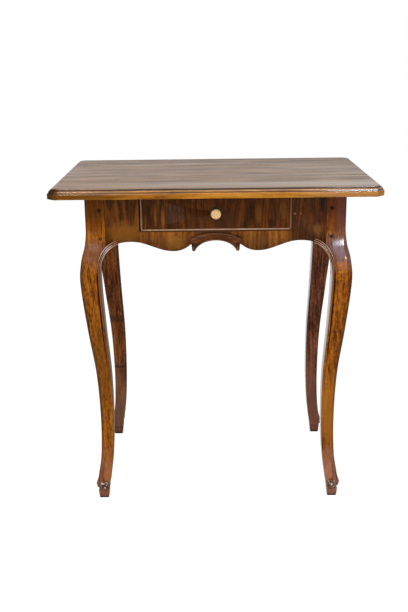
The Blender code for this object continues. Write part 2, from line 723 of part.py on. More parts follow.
def make_rail(material, parent):
    """Scalloped rail under the drawer, tenoned between the stiles."""
    curve = front_wave()
    end = OPENING_HALF - SEAT_GAP
    notch_x = CARVING_HALF_SPAN + 2 * HOOK_RADIUS
    hidden_x = CARVING_HALF_SPAN - HOOK_RADIUS
    half = []
    for x in spread(0.0, hidden_x, BAND_STEPS):
        half.append((x, carving_arch(x, RAIL_BEHIND_CARVING)))
    for x in spread(notch_x, LOBE_FROM_MIDDLE, LOBE_STEPS):
        half.append((x, lobe_height(x)))
    half += [(x, z) for x, z in curve[1:] if x < end] + [(end, edge_height(curve, end))]
    left = [(-x, z) for x, z in reversed(half) if x > 0]
    outline = [(end, RAIL_TOP), (-end, RAIL_TOP)] + left + half
    mesh = mesh_from("front_rail", prism(outline, APRON_THICKNESS))
    cheek = (APRON_THICKNESS - TENON_THICKNESS) / 2
    low, high = rail_tenon_heights()
    for side in (-1, 1):
        ends = side * (end - RAIL_TENON_LENGTH), side * (OPENING_HALF + RAIL_TENON_LENGTH)
        near, far = sorted(ends)
        tenon = block((near, cheek, low), (far, cheek + TENON_THICKNESS, high))
        mesh = combined(mesh, tenon, "UNION")
    place("front_rail", mesh, material, parent, (0.0, -POST_FACE_Y, 0.0))


def carving_half():
    """Right half of the carving's outline, from the arch round the hook to the top of the band."""
    hook_low = UNDERSIDE - CARVING_SPRING_BELOW_TOP + HOOK_LENGTH
    inner_x = CARVING_HALF_SPAN * math.sqrt(1 - (HOOK_LENGTH / CARVING_RISE) ** 2)
    points = []
    for share in spread(0.0, 1.0, CARVING_STEPS):
        x = inner_x * math.sin(share * math.pi / 2)
        points.append((x, carving_arch(x)))
    hook_x = inner_x + HOOK_RADIUS
    for angle in spread(math.pi, 2 * math.pi, ROUND_STEPS)[1:]:
        x = hook_x + HOOK_RADIUS * math.cos(angle)
        points.append((x, hook_low + HOOK_RADIUS * math.sin(angle)))
    eye_x = hook_x + HOOK_RADIUS - SCROLL_EYE_RADIUS / 2
    eye_z = UNDERSIDE - CARVING_SPRING_BELOW_TOP + CARVING_RISE
    for angle in spread(-math.pi / 4, math.pi / 2, ROUND_STEPS):
        x = eye_x + SCROLL_EYE_RADIUS * math.cos(angle)
        points.append((x, eye_z + SCROLL_EYE_RADIUS * math.sin(angle)))
    band_top = CARVING_RISE + CARVING_BAND_HEIGHT
    for share in spread(1.0, 0.0, BAND_STEPS)[1:]:
        x = eye_x * share
        rise = band_top * math.sqrt(1 - (x / CARVING_BAND_HALF_SPAN) ** 2)
        points.append((x, UNDERSIDE - CARVING_SPRING_BELOW_TOP + rise))
    return points


def make_carving(material, parent):
    """Applied carving: a C-scroll arch that ends in two hooks below the rail."""
    half = carving_half()
    left = [(-x, z) for x, z in reversed(half) if x > 0]
    shape = prism(half + left, CARVING_THICKNESS)
    front = [edge for edge in shape.edges if all(vert.co.y < SEAT_GAP for vert in edge.verts)]
    bmesh.ops.bevel(shape, geom=front, offset=CARVING_BEVEL, segments=1, affect="EDGES")
    mesh = mesh_from("apron_carving", shape)
    face_y = -POST_FACE_Y - CARVING_THICKNESS - SEAT_GAP
    place("apron_carving", mesh, material, parent, (0.0, face_y, 0.0))


# Pegs through the apron tenons

def make_pegs(material, parent):
    """Two pegs at each of the eight joints, driven from outside."""
    shape = rod((0.0, 0.0, 0.0), (0.0, PEG_LENGTH, 0.0), PEG_RADIUS, PEG_SIDES)
    mesh = mesh_from("peg", shape)
    smooth(mesh)
    x, y = POST_FACE_X, POST_FACE_Y
    from_end = POST_SIDE - PEG_FROM_SHOULDER
    joints = (
        ("front_left", (from_end - x, PEG_RECESS - y), 0.0),
        ("front_right", (x - from_end, PEG_RECESS - y), 0.0),
        ("right_front", (x - PEG_RECESS, from_end - y), math.pi / 2),
        ("right_back", (x - PEG_RECESS, y - from_end), math.pi / 2),
        ("back_right", (x - from_end, y - PEG_RECESS), math.pi),
        ("back_left", (from_end - x, y - PEG_RECESS), math.pi),
        ("left_back", (PEG_RECESS - x, y - from_end), -math.pi / 2),
        ("left_front", (PEG_RECESS - x, from_end - y), -math.pi / 2),
    )
    for joint, (peg_x, peg_y), turn in joints:
        for level, peg_z in zip(("upper", "lower"), PEG_HEIGHTS):
            place(f"peg_{joint}_{level}", mesh, material, parent, (peg_x, peg_y, peg_z), turn)


# What carries the drawer, and the glue blocks under the top

def make_drawer_bay(material, parent):
    """Runners, guides, kickers and stops on both sides of the drawer."""
    near, far = RAIL_BACK_Y + SEAT_GAP, BACK_APRON_Y - SEAT_GAP
    drawer_end = -POST_FACE_Y + DRAWER_LENGTH
    for name, side in (("left", -1), ("right", 1)):
        def bar(low_x, high_x, low_y, high_y, low_z, high_z, title):
            ends = sorted((side * low_x, side * high_x))
            shape = block((ends[0], low_y, low_z), (ends[1], high_y, high_z))
            place(title, mesh_from(title, shape), material, parent, (DRAWER_OFF_CENTRE, 0.0, 0.0))

        outside = DRAWER_HALF + RUNNER_OUTSIDE_DRAWER
        bar(DRAWER_HALF - RUNNER_UNDER_DRAWER, outside, near, far,
            RAIL_TOP - RUNNER_THICKNESS, RAIL_TOP, f"drawer_runner_{name}")
        bar(DRAWER_HALF + SLIDE_GAP, outside, near, far,
            RAIL_TOP + SEAT_GAP, RAIL_TOP + GUIDE_HEIGHT, f"drawer_guide_{name}")
        bar(DRAWER_HALF - KICKER_UNDER_SIDE, DRAWER_HALF + KICKER_OUTSIDE_DRAWER,
            RAIL_BACK_Y + KICKER_SET_BACK, far,
            DRAWER_SIDE_TOP_Z + KICKER_CLEARANCE, FRAME_TOP, f"drawer_kicker_{name}")
        bar(DRAWER_HALF - STOP_WIDTH, DRAWER_HALF, drawer_end + SEAT_GAP, drawer_end + STOP_LENGTH,
            RAIL_TOP + SEAT_GAP, RAIL_TOP + STOP_HEIGHT, f"drawer_stop_{name}")


def glue_block_mesh():
    """A square block with its free corner planed off."""
    side = GLUE_BLOCK_SIDE
    corner = side / 2
    outline = [(0.0, 0.0), (0.0, -side), (corner, -side), (side, -corner), (side, 0.0)]
    return mesh_from("glue_block", prism(outline, GLUE_BLOCK_LENGTH, -GLUE_BLOCK_LENGTH / 2))


def make_glue_blocks(material, parent):
    """Blocks in the corner between the top and the aprons; local x points away from the apron."""
    mesh = glue_block_mesh()
    inside_x = POST_FACE_X - APRON_THICKNESS - SEAT_GAP
    inside_y = POST_FACE_Y - APRON_THICKNESS - SEAT_GAP
    stile_x = (OPENING_HALF + POST_FACE_X - POST_SIDE) / 2 + RUNNER_OUTSIDE_DRAWER / 2
    back_x = DRAWER_HALF - KICKER_UNDER_SIDE - BLOCK_FROM_KICKER - GLUE_BLOCK_LENGTH / 2
    half_turn, quarter = math.pi, math.pi / 2
    spots = (
        ("left_front", (-inside_x, -GLUE_BLOCK_FROM_MIDDLE), 0.0),
        ("left_back", (-inside_x, GLUE_BLOCK_FROM_MIDDLE), 0.0),
        ("right_front", (inside_x, -GLUE_BLOCK_FROM_MIDDLE), half_turn),
        ("right_back", (inside_x, GLUE_BLOCK_FROM_MIDDLE), half_turn),
        ("back_left", (-back_x, inside_y), -quarter),
        ("back_right", (back_x, inside_y), -quarter),
        ("front_left", (-stile_x, -inside_y), quarter),
        ("front_right", (stile_x, -inside_y), quarter),
    )
    for title, (x, y), turn in spots:
        place(f"glue_block_{title}", mesh, material, parent, (x, y, FRAME_TOP), turn)


# Drawer

def tail_rows(low, high):
    """Middle, half root and half tip of each dovetail between two heights."""
    pitch = (high - low) / DOVETAIL_COUNT
    return [(low + (k + 0.5) * pitch, pitch * TAIL_ROOT_SHARE / 2, pitch * TAIL_TIP_SHARE / 2)
            for k in range(DOVETAIL_COUNT)]


def socket(row, root_y, tip_y):
    """Outline in Y and Z of the socket of one tail, a seat gap larger than the tail all round."""
    middle, half_root, half_tip = row
    half_root, half_tip = half_root + SEAT_GAP, half_tip + SEAT_GAP
    reach = SEAT_GAP if tip_y > root_y else -SEAT_GAP
    root, tip = root_y - SOCKET_MOUTH * reach, tip_y + reach
    return [(root, middle - half_root), (tip, middle - half_tip),
            (tip, middle + half_tip), (root, middle + half_root)]


def drawer_rows():
    """Dovetail rows at the front and at the back."""
    front = tail_rows(-DRAWER_HALF_HEIGHT, SIDE_TOP)
    back = tail_rows(GROOVE_HIGH, SIDE_TOP - DRAWER_BACK_LOWERED)
    return front, back


def make_drawer_side(name, side, material, parent):
    """A side with half-blind tails in front, through tails behind and a groove for the bottom."""
    front_rows, back_rows = drawer_rows()
    root, tip = DRAWER_FRONT_THICKNESS + SEAT_GAP, DRAWER_FRONT_THICKNESS - DOVETAIL_LENGTH
    end = DRAWER_LENGTH
    back_root = end - DRAWER_BACK_THICKNESS - SEAT_GAP
    low = -DRAWER_HALF_HEIGHT
    outline = [(root, low), (end, low), (end, GROOVE_HIGH - SEAT_GAP), (back_root, GROOVE_HIGH - SEAT_GAP)]
    for middle, half_root, half_tip in back_rows:
        outline += [(back_root, middle - half_root), (end, middle - half_tip),
                    (end, middle + half_tip), (back_root, middle + half_root)]
    outline += [(back_root, SIDE_TOP), (root, SIDE_TOP)]
    for middle, half_root, half_tip in reversed(front_rows):
        outline += [(root, middle + half_root), (tip, middle + half_tip),
                    (tip, middle - half_tip), (root, middle - half_root)]
    near, far = sorted((side * SIDE_INNER, side * DRAWER_HALF))
    mesh = mesh_from(name, side_prism(outline, near, far))
    near, far = sorted((side * (SIDE_INNER - GROOVE_DEPTH), side * (SIDE_INNER + GROOVE_DEPTH)))
    groove = block((near, 0.0, GROOVE_LOW), (far, 2 * end, GROOVE_HIGH))
    place(name, combined(mesh, groove, "DIFFERENCE"), material, parent)


def make_drawer_front(material, parent):
    """Front board with a rebate for the beads, dovetail sockets and a groove."""
    half_x, half_z = DRAWER_HALF, DRAWER_HALF_HEIGHT
    shape = block((-half_x, BEAD_DEPTH, -half_z), (half_x, DRAWER_FRONT_THICKNESS, half_z))
    mesh = mesh_from("drawer_front", shape)
    face_x, face_z = half_x - BEAD_THICKNESS, half_z - BEAD_THICKNESS
    face = block((-face_x, 0.0, -face_z), (face_x, DRAWER_FRONT_THICKNESS / 2, face_z))
    mesh = combined(mesh, face, "UNION")
    rows = drawer_rows()[0]
    tip = DRAWER_FRONT_THICKNESS - DOVETAIL_LENGTH
    for side in (-1, 1):
        near, far = sorted((side * (SIDE_INNER - SEAT_GAP), side * 2 * half_x))
        for row in rows:
            outline = socket(row, DRAWER_FRONT_THICKNESS, tip)
            mesh = combined(mesh, side_prism(outline, near, far), "DIFFERENCE")
    reach = SIDE_INNER + GROOVE_DEPTH
    groove = block((-reach, DRAWER_FRONT_THICKNESS - GROOVE_DEPTH, GROOVE_LOW),
                   (reach, 2 * DRAWER_FRONT_THICKNESS, GROOVE_HIGH))
    mesh = combined(mesh, groove, "DIFFERENCE")
    hole = rod((0.0, -BEAD_DEPTH, 0.0), (0.0, 2 * DRAWER_FRONT_THICKNESS, 0.0),
               SCREW_RADIUS + SEAT_GAP, PEG_SIDES)
    place("drawer_front", combined(mesh, hole, "DIFFERENCE"), material, parent)


def make_drawer_back(material, parent):
    """Back board with open sockets for the through dovetails."""
    rows = drawer_rows()[1]
    root, end = DRAWER_LENGTH - DRAWER_BACK_THICKNESS, DRAWER_LENGTH
    back_top = SIDE_TOP - DRAWER_BACK_LOWERED
    mesh = mesh_from("drawer_back", block((-DRAWER_HALF, root, GROOVE_HIGH), (DRAWER_HALF, end, back_top)))
    for side in (-1, 1):
        near, far = sorted((side * (SIDE_INNER - SEAT_GAP), side * 2 * DRAWER_HALF))
        for row in rows:
            outline = socket(row, root, end)
            mesh = combined(mesh, side_prism(outline, near, far), "DIFFERENCE")
    place("drawer_back", mesh, material, parent)


def make_drawer_bottom(material, parent):
    """Thin board in the grooves, running out under the back."""
    half = SIDE_INNER + GROOVE_DEPTH - SEAT_GAP
    front = DRAWER_FRONT_THICKNESS - GROOVE_DEPTH + SEAT_GAP
    shape = block((-half, front, GROOVE_LOW + SEAT_GAP), (half, DRAWER_LENGTH, GROOVE_HIGH - SEAT_GAP))
    place("drawer_bottom", mesh_from("drawer_bottom", shape), material, parent)


def make_beads(material, parent):
    """Four mitred cock beads in the rebate of the front."""
    def bead(name, long_half, short_half, upright, side):
        outer, inner = long_half, long_half - BEAD_THICKNESS
        far, near = short_half, short_half - BEAD_THICKNESS + SEAT_GAP
        cut = SEAT_GAP / 2
        points = [(-outer + cut, far), (outer - cut, far), (inner - cut, near), (cut - inner, near)]
        if upright:
            points = [(z, x) for x, z in points]
        outline = [(side * x, z) if upright else (x, side * z) for x, z in points]
        shape = prism(outline, BEAD_PROUD + BEAD_DEPTH - SEAT_GAP, -BEAD_PROUD)
        front = []
        for edge in shape.edges:
            first, second = (vert.co for vert in edge.verts)
            at_face = max(first.y, second.y) < 0.0
            if at_face and (first - second).length > 2 * BEAD_THICKNESS:
                front.append(edge)
        bmesh.ops.bevel(shape, geom=front, offset=BEAD_ROUND, segments=2, affect="EDGES")
        mesh = mesh_from(name, shape)
        smooth(mesh)
        place(name, mesh, material, parent)

    bead("drawer_bead_top", DRAWER_HALF, DRAWER_HALF_HEIGHT, False, 1)
    bead("drawer_bead_bottom", DRAWER_HALF, DRAWER_HALF_HEIGHT, False, -1)
    bead("drawer_bead_left", DRAWER_HALF_HEIGHT, DRAWER_HALF, True, -1)
    bead("drawer_bead_right", DRAWER_HALF_HEIGHT, DRAWER_HALF, True, 1)


def make_knob(knob_finish, plate_finish, screw_finish, parent):
    """Turned knob on its collar, held by a screw from inside the drawer."""
    face = (0.0, -SEAT_GAP, 0.0)
    lean = math.pi / 2
    bore = SCREW_RADIUS + SEAT_GAP
    base = BACKPLATE_THICKNESS + SEAT_GAP
    profile = [(bore, base)]
    profile += [(KNOB_NECK_RADIUS * wide, base + KNOB_PROJECTION * high) for wide, high in KNOB_FOOT]
    profile += [(KNOB_RADIUS * wide, base + KNOB_PROJECTION * high) for wide, high in KNOB_BELLY]
    hole_end = base + SCREW_IN_KNOB + SEAT_GAP
    profile += [(0.0, hole_end), (bore, hole_end), (bore, base)]
    plate = [(bore, 0.0)]
    plate += [(BACKPLATE_RADIUS * wide, BACKPLATE_THICKNESS * high) for wide, high in BACKPLATE_RIM]
    plate += [(bore, BACKPLATE_THICKNESS), (bore, 0.0)]
    inside = -DRAWER_FRONT_THICKNESS - 2 * SEAT_GAP
    head = inside - SCREW_HEAD_THICKNESS
    screw = [(0.0, head), (SCREW_HEAD_RADIUS * SCREW_HEAD_TOP, head),
             (SCREW_HEAD_RADIUS, inside - SCREW_HEAD_THICKNESS / 3),
             (SCREW_HEAD_RADIUS, inside), (SCREW_RADIUS, inside),
             (SCREW_RADIUS, base + SCREW_IN_KNOB - SCREW_RADIUS), (0.0, base + SCREW_IN_KNOB)]
    for name, points, material in (("knob", profile, knob_finish), ("knob_backplate", plate, plate_finish),
                                   ("knob_screw", screw, screw_finish)):
        mesh = mesh_from(name, turned(points, TURNED_SIDES))
        smooth(mesh)
        piece = place(name, mesh, material, parent, face)
        piece.rotation_euler = (lean, 0.0, 0.0)


def build():
    """The whole table."""
    clear_scene()
    top_finish = finish("top_walnut", (0.150, 0.075, 0.035), 0.25)
    leg_finish = finish("leg_walnut", (0.170, 0.062, 0.020), 0.30)
    apron_finish = finish("apron_walnut", (0.090, 0.035, 0.014), 0.32)
    carving_finish = finish("carving_walnut", (0.100, 0.030, 0.014), 0.35)
    drawer_finish = finish("drawer_walnut", (0.060, 0.022, 0.010), 0.28)
    bead_finish = finish("bead_walnut", (0.230, 0.120, 0.080), 0.30)
    inner_finish = finish("inside_oak", (0.300, 0.190, 0.100), 0.60)
    peg_finish = finish("peg_dark", (0.020, 0.012, 0.008), 0.60)
    knob_finish = finish("knob_boxwood", (0.700, 0.470, 0.220), 0.35)
    plate_finish = finish("backplate_ebonised", (0.020, 0.012, 0.010), 0.30)
    screw_finish = finish("screw_steel", (0.350, 0.330, 0.300), 0.40, 1.0)

    table = anchor("table", (0.0, 0.0, 0.0))
    make_top(top_finish, table)
    make_legs(leg_finish, table)
    make_side_and_back_aprons(apron_finish, table)
    make_stiles(apron_finish, table)
    make_rail(apron_finish, table)
    make_carving(carving_finish, table)
    make_pegs(peg_finish, table)
    make_drawer_bay(inner_finish, table)
    make_glue_blocks(inner_finish, table)

    drawer = anchor("drawer_slide", (DRAWER_OFF_CENTRE, -POST_FACE_Y, DRAWER_MIDDLE_Z))
    make_drawer_front(drawer_finish, drawer)
    make_drawer_side("drawer_side_left", -1, inner_finish, drawer)
    make_drawer_side("drawer_side_right", 1, inner_finish, drawer)
    make_drawer_back(inner_finish, drawer)
    make_drawer_bottom(inner_finish, drawer)
    make_beads(bead_finish, drawer)
    make_knob(knob_finish, plate_finish, screw_finish, drawer)
    bpy.context.view_layer.update()


build()
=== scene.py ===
# %% [markdown]
# # A walnut side table with cabriole legs
#
# The object is a small country table: a moulded walnut top, four legs that swell at the knee and
# end in a carved volute, aprons with a wavy lower edge, and one drawer with a pale turned knob.
# The CAD frame already has every board and joint at its real size. This script gives each surface
# its polish and grain, rounds the arrises that a plane and a scraper would round, and carves what
# a carver would carve.

# %% Load the frame
import math

import bmesh
import bpy
from mathutils import Matrix, Vector


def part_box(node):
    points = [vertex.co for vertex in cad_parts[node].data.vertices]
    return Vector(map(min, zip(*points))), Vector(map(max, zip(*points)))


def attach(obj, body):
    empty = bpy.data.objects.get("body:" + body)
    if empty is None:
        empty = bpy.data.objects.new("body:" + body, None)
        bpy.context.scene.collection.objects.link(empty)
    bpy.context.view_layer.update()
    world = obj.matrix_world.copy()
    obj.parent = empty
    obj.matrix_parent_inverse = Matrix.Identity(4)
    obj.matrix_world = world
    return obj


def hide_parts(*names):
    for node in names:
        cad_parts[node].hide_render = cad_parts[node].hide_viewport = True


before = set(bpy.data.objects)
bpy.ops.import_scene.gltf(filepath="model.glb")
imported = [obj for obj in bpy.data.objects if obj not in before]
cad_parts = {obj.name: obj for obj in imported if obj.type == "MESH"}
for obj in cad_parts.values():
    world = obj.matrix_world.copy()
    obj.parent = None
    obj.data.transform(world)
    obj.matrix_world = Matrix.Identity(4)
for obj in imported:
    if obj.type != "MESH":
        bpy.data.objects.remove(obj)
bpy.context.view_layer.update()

# %% [markdown]
# ## Places that everything else hangs on
#
# A maker marks out a table from a few faces: the underside of the top and the outer faces of the
# posts. The same faces are read from the frame here, so each carved piece lands on the board that
# carries it.

# %% Faces read from the frame
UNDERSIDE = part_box("top_board_middle")[0].z
POST_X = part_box("apron_right")[1].x
POST_Y = -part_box("front_rail")[0].y
print(f"underside {UNDERSIDE:.4f}, posts at {POST_X:.4f} and {POST_Y:.4f}")

# %% [markdown]
# ## Camera
#
# The photograph was taken with a long lens from a little above the table top, almost square to the
# front. A camera looks along its own -Z, so its matrix is made of three columns: right, up, and
# the opposite of the viewing direction. Angles are in radians, the lens is in millimetres.

# %% Camera
CAMERA_PLACE = Vector((-0.01543, -2.16439, 1.06089))
LOOKS_DOWN, LOOKS_LEFT, ROLLED = 0.28600, 0.00639, -0.01261
LENS, SENSOR = 52.94, 36.0


def camera_turn(down, left, rolled):
    """Rotation of a camera that looks along +Y, turned left, then down, then rolled."""
    forward = Vector((-math.sin(left) * math.cos(down), math.cos(left) * math.cos(down),
                      -math.sin(down)))
    level = Vector((math.cos(left), math.sin(left), 0.0))
    upright = level.cross(forward)
    right = level * math.cos(rolled) + upright * math.sin(rolled)
    up = upright * math.cos(rolled) - level * math.sin(rolled)
    return Matrix((right, up, -forward)).transposed()


def add_object(name, data):
    """Put a camera, a lamp or a mesh into the scene as an object."""
    thing = bpy.data.objects.new(name, data)
    bpy.context.scene.collection.objects.link(thing)
    return thing


lens = bpy.data.cameras.new("camera")
lens.lens, lens.sensor_width = LENS, SENSOR
camera = add_object("camera", lens)
camera.matrix_world = Matrix.Translation(CAMERA_PLACE) @ camera_turn(
    LOOKS_DOWN, LOOKS_LEFT, ROLLED).to_4x4()
bpy.context.scene.camera = camera
bpy.context.scene.view_settings.view_transform = "Standard"
print("camera at", tuple(round(value, 3) for value in camera.location))

# %% [markdown]
# ## Studio
#
# Polished wood is seen mostly by what it reflects, so the studio is part of the finish. The floor
# is pale and the background white: the camera and the glossy rays see a white world of strength 1,
# while the light that falls on the wood is softer. A long strip above the front edge shows the
# moulding, and a softbox on the left fills the shade. Two windows stand to the right of the camera,
# a small bright one and a tall dim one, and give the cold reflections on the right knee. A weak
# panel and a small lamp do the same on the left, for the knee and the toe.
#
# Materials and light are both made of nodes. A few helpers come first, so that each node can be
# written in one line with what goes into it.

# %% Node helpers
ROW, NODE_WIDTH, NODE_HEIGHT = 8, 220, 340


def feed(tree, socket, value):
    """Give an input the output of another node, a number, a place or a colour."""
    if isinstance(value, bpy.types.NodeSocket):
        tree.links.new(value, socket)
    elif socket.type == "RGBA":
        socket.default_value = (*value, 1.0)
    else:
        socket.default_value = value


def node(tree, kind, inputs=None, **settings):
    """Add a node in the next place of its row, set its properties, and feed its inputs."""
    row, column = divmod(len(tree.nodes), ROW)
    made = tree.nodes.new(kind)
    made.location = column * NODE_WIDTH, -row * NODE_HEIGHT
    for key, value in settings.items():
        setattr(made, key, value)
    for key, value in (inputs or {}).items():
        feed(tree, made.inputs[key], value)
    return made


def math_node(tree, operation, *values, clamp=False):
    """The result of a Math node."""
    return node(tree, "ShaderNodeMath", dict(enumerate(values)), operation=operation,
                use_clamp=clamp).outputs[0]


def vector_node(tree, operation, *values):
    """The result of a Vector Math node that gives a vector."""
    return node(tree, "ShaderNodeVectorMath", dict(enumerate(values)),
                operation=operation).outputs[0]


def map_range(tree, value, start, end, low=0.0, high=1.0, kind="LINEAR"):
    """A value carried from the range start to end over to the range low to high, and kept in it."""
    return node(tree, "ShaderNodeMapRange", {
        "Value": value, "From Min": start, "From Max": end, "To Min": low, "To Max": high,
    }, interpolation_type=kind).outputs[0]


def mix_colours(tree, share, first, second, blend="MIX"):
    """Two colours mixed or multiplied by a share from 0 to 1."""
    return node(tree, "ShaderNodeMix", {0: share, 6: first, 7: second}, data_type="RGBA",
                blend_type=blend, clamp_factor=True).outputs[2]


def direct_look(tree):
    """1 for what is seen directly, in a reflection or through glass, 0 for scattered light."""
    rays = node(tree, "ShaderNodeLightPath").outputs
    seen = math_node(tree, "MAXIMUM", rays["Is Camera Ray"], rays["Is Glossy Ray"])
    return math_node(tree, "MAXIMUM", seen, rays["Is Transmission Ray"])


def new_material(name):
    """A material with an empty Principled finish, and its node tree."""
    material = bpy.data.materials.new(name)
    material.use_nodes = True
    return material, material.node_tree


def set_shader(tree, values):
    """Feed the Principled shader of a material."""
    shader = tree.nodes["Principled BSDF"]
    for title, value in values.items():
        feed(tree, shader.inputs[title], value)


print("node helpers ready")

# %% World
WORLD_LIGHT = (0.51, 0.51, 0.53)
WHITE = (1.0, 1.0, 1.0)

world = bpy.data.worlds.new("white_studio")
bpy.context.scene.world = world
world.use_nodes = True
sky = world.node_tree
sky.nodes.clear()
soft = node(sky, "ShaderNodeBackground", {"Color": WORLD_LIGHT})
white = node(sky, "ShaderNodeBackground", {"Color": WHITE})
choice = node(sky, "ShaderNodeMixShader", {0: direct_look(sky), 1: soft.outputs[0],
                                           2: white.outputs[0]})
node(sky, "ShaderNodeOutputWorld", {"Surface": choice.outputs[0]})
print("world light", WORLD_LIGHT)

# %% Floor
FLOOR_HALF = 7.0
FLOOR_COLOUR = (0.62, 0.62, 0.62)
FLOOR_LIFT = 0.68


def floor_paint():
    """A matte pale paint with a glow that only the camera and reflections see."""
    material, tree = new_material("pale_floor")
    tree.nodes.clear()
    matte = node(tree, "ShaderNodeBsdfDiffuse", {"Color": FLOOR_COLOUR})
    glow = math_node(tree, "MULTIPLY", direct_look(tree), FLOOR_LIFT)
    lift = node(tree, "ShaderNodeEmission", {"Strength": glow})
    total = node(tree, "ShaderNodeAddShader", {0: matte.outputs[0], 1: lift.outputs[0]})
    node(tree, "ShaderNodeOutputMaterial", {"Surface": total.outputs[0]})
    return material


def make_floor():
    """A wide sheet that is white to the camera and still takes the table's shadow."""
    shape = bmesh.new()
    bmesh.ops.create_grid(shape, x_segments=1, y_segments=1, size=FLOOR_HALF)
    mesh = bpy.data.meshes.new("floor")
    shape.to_mesh(mesh)
    shape.free()
    mesh.materials.append(floor_paint())
    add_object("floor", mesh)


make_floor()
print("floor", FLOOR_HALF * 2, "m wide")

# %% Lamps
RIGHT_KNEE, LEFT_KNEE = (0.28, -0.2, 0.62), (-0.28, -0.2, 0.62)
LIGHTS = (
    # name, place, faces, width, height, watts, colour
    ("strip_above", (-0.4, -1.9, 2.25), (0.0, -0.2, 0.6), 3.0, 0.36, 29.0, (1.0, 0.98, 0.95)),
    ("softbox_left", (-2.6, -1.5, 1.5), (0.0, 0.0, 0.5), 1.2, 1.4, 8.0, (1.0, 0.97, 0.93)),
    ("window_bright", (0.77, -2.70, 1.01), RIGHT_KNEE, 0.36, 0.20, 10.5, (0.84, 0.90, 1.0)),
    ("window_dim", (0.74, -2.70, 1.48), RIGHT_KNEE, 0.55, 0.80, 4.6, (0.72, 0.72, 1.0)),
    ("panel_left", (-0.62, -2.70, 1.12), LEFT_KNEE, 0.36, 0.44, 2.0, (1.0, 0.92, 0.90)),
    ("sparkle_left", (-0.70, -2.50, 1.60), (-0.28, -0.2, 0.05), 0.20, 0.20, 4.0,
     (1.0, 0.98, 0.95)),
)


def make_lamp(name, place, target, width, height, watts, colour):
    """A rectangular softbox that faces a point."""
    light = bpy.data.lights.new(name, "AREA")
    light.shape = "RECTANGLE"
    light.size, light.size_y = width, height
    light.energy, light.color = watts, colour
    lamp = add_object(name, light)
    lamp.location = place
    lamp.rotation_euler = (Vector(target) - Vector(place)).to_track_quat("-Z", "Y").to_euler()
    lamp.visible_camera = False


for settings in LIGHTS:
    make_lamp(*settings)
print("lamps:", ", ".join(settings[0] for settings in LIGHTS))

# %% [markdown]
# ## Walnut
#
# A board is a slice through a tree, so its figure is best made in three dimensions: growth rings
# are long cylinders about a pith that lies outside the board, bent by slow noise, and every cut
# through them shows the right kind of line. On a flat face they run as streaks, and where a curved
# leg cuts across them they open into pointed arches. Between the rings lie darker streaks, flecks
# and short pores, all drawn out along the grain. One node group makes all of this, and each piece
# uses it with its own grain direction, colours and seed.

# %% A node group, and noise along the grain
def new_group(name, inputs, outputs):
    """An empty shader node group with named sockets, and the outputs of its input node."""
    group = bpy.data.node_groups.new(name, "ShaderNodeTree")
    for way, sockets in (("INPUT", inputs), ("OUTPUT", outputs)):
        for title, kind in sockets.items():
            group.interface.new_socket(title, in_out=way, socket_type=f"NodeSocket{kind}")
    return group, node(group, "NodeGroupInput").outputs


def stretched_noise(tree, vector, scale, detail, roughness=0.55):
    """Noise drawn out along the grain: scale gives lumps a metre along x and across."""
    drawn_out = node(tree, "ShaderNodeMapping", {"Scale": scale, "Vector": vector})
    return node(tree, "ShaderNodeTexNoise", {
        "Vector": drawn_out.outputs[0], "Scale": 1.0, "Detail": detail, "Roughness": roughness,
    }).outputs


print("group helpers ready")

# %% Node group: walnut figure
BEND_SCALE, BEND_REACH = (2.2, 9.0, 9.0), (0.0, 0.075, 0.075)
FLECK_SCALE, PORE_SCALE = (110.0, 260.0, 260.0), (60.0, 1500.0, 1500.0)
PORE_EDGES = (0.34, 0.44)
PORE_TONE = 0.65


def make_walnut_figure():
    """Rings, streaks, patches, flecks and pores of one board whose grain runs along x."""
    group, given = new_group("walnut_figure", {
        "Vector": "Vector", "Dark": "Color", "Middle": "Color", "Light": "Color",
        "Streak Scale": "Vector", "Patch Scale": "Vector", "Ring Scale": "Float",
        "Rings": "Float", "Streaks": "Float", "Patches": "Float", "Flecks": "Float",
    }, {"Color": "Color", "Height": "Float", "Gloss": "Float"})
    place = given["Vector"]
    bend = stretched_noise(group, place, BEND_SCALE, 2.0)["Color"]
    bent = vector_node(group, "MULTIPLY_ADD", bend, BEND_REACH, place)
    rings = node(group, "ShaderNodeTexWave", {
        "Vector": bent, "Scale": given["Ring Scale"], "Distortion": 5.0, "Detail": 2.0,
        "Detail Scale": 0.35}, wave_type="RINGS", rings_direction="X").outputs
    streaks = stretched_noise(group, bent, given["Streak Scale"], 4.0, 0.62)
    patches = stretched_noise(group, place, given["Patch Scale"], 3.0, 0.5)
    flecks = stretched_noise(group, place, FLECK_SCALE, 2.0, 0.6)
    tone = 0.5
    for source, amount in ((rings, "Rings"), (streaks, "Streaks"),
                           (patches, "Patches"), (flecks, "Flecks")):
        centred = math_node(group, "SUBTRACT", source["Fac"], 0.5)
        scaled = math_node(group, "MULTIPLY", centred, given[amount])
        tone = math_node(group, "ADD", tone, scaled)
    low = math_node(group, "MULTIPLY", tone, 2.0, clamp=True)
    high = math_node(group, "MULTIPLY_ADD", tone, 2.0, -1.0, clamp=True)
    body = mix_colours(group, low, given["Dark"], given["Middle"])
    body = mix_colours(group, high, body, given["Light"])
    pores = stretched_noise(group, place, PORE_SCALE, 1.0)["Fac"]
    level = map_range(group, pores, *PORE_EDGES)
    shade = math_node(group, "MULTIPLY_ADD", level, 1.0 - PORE_TONE, PORE_TONE)
    grey = node(group, "ShaderNodeCombineColor", {0: shade, 1: shade, 2: shade})
    body = mix_colours(group, 1.0, body, grey.outputs[0], "MULTIPLY")
    node(group, "NodeGroupOutput", {"Color": body, "Height": level, "Gloss": streaks["Fac"]})
    return group


WALNUT_FIGURE = make_walnut_figure()
print("group:", WALNUT_FIGURE.name)

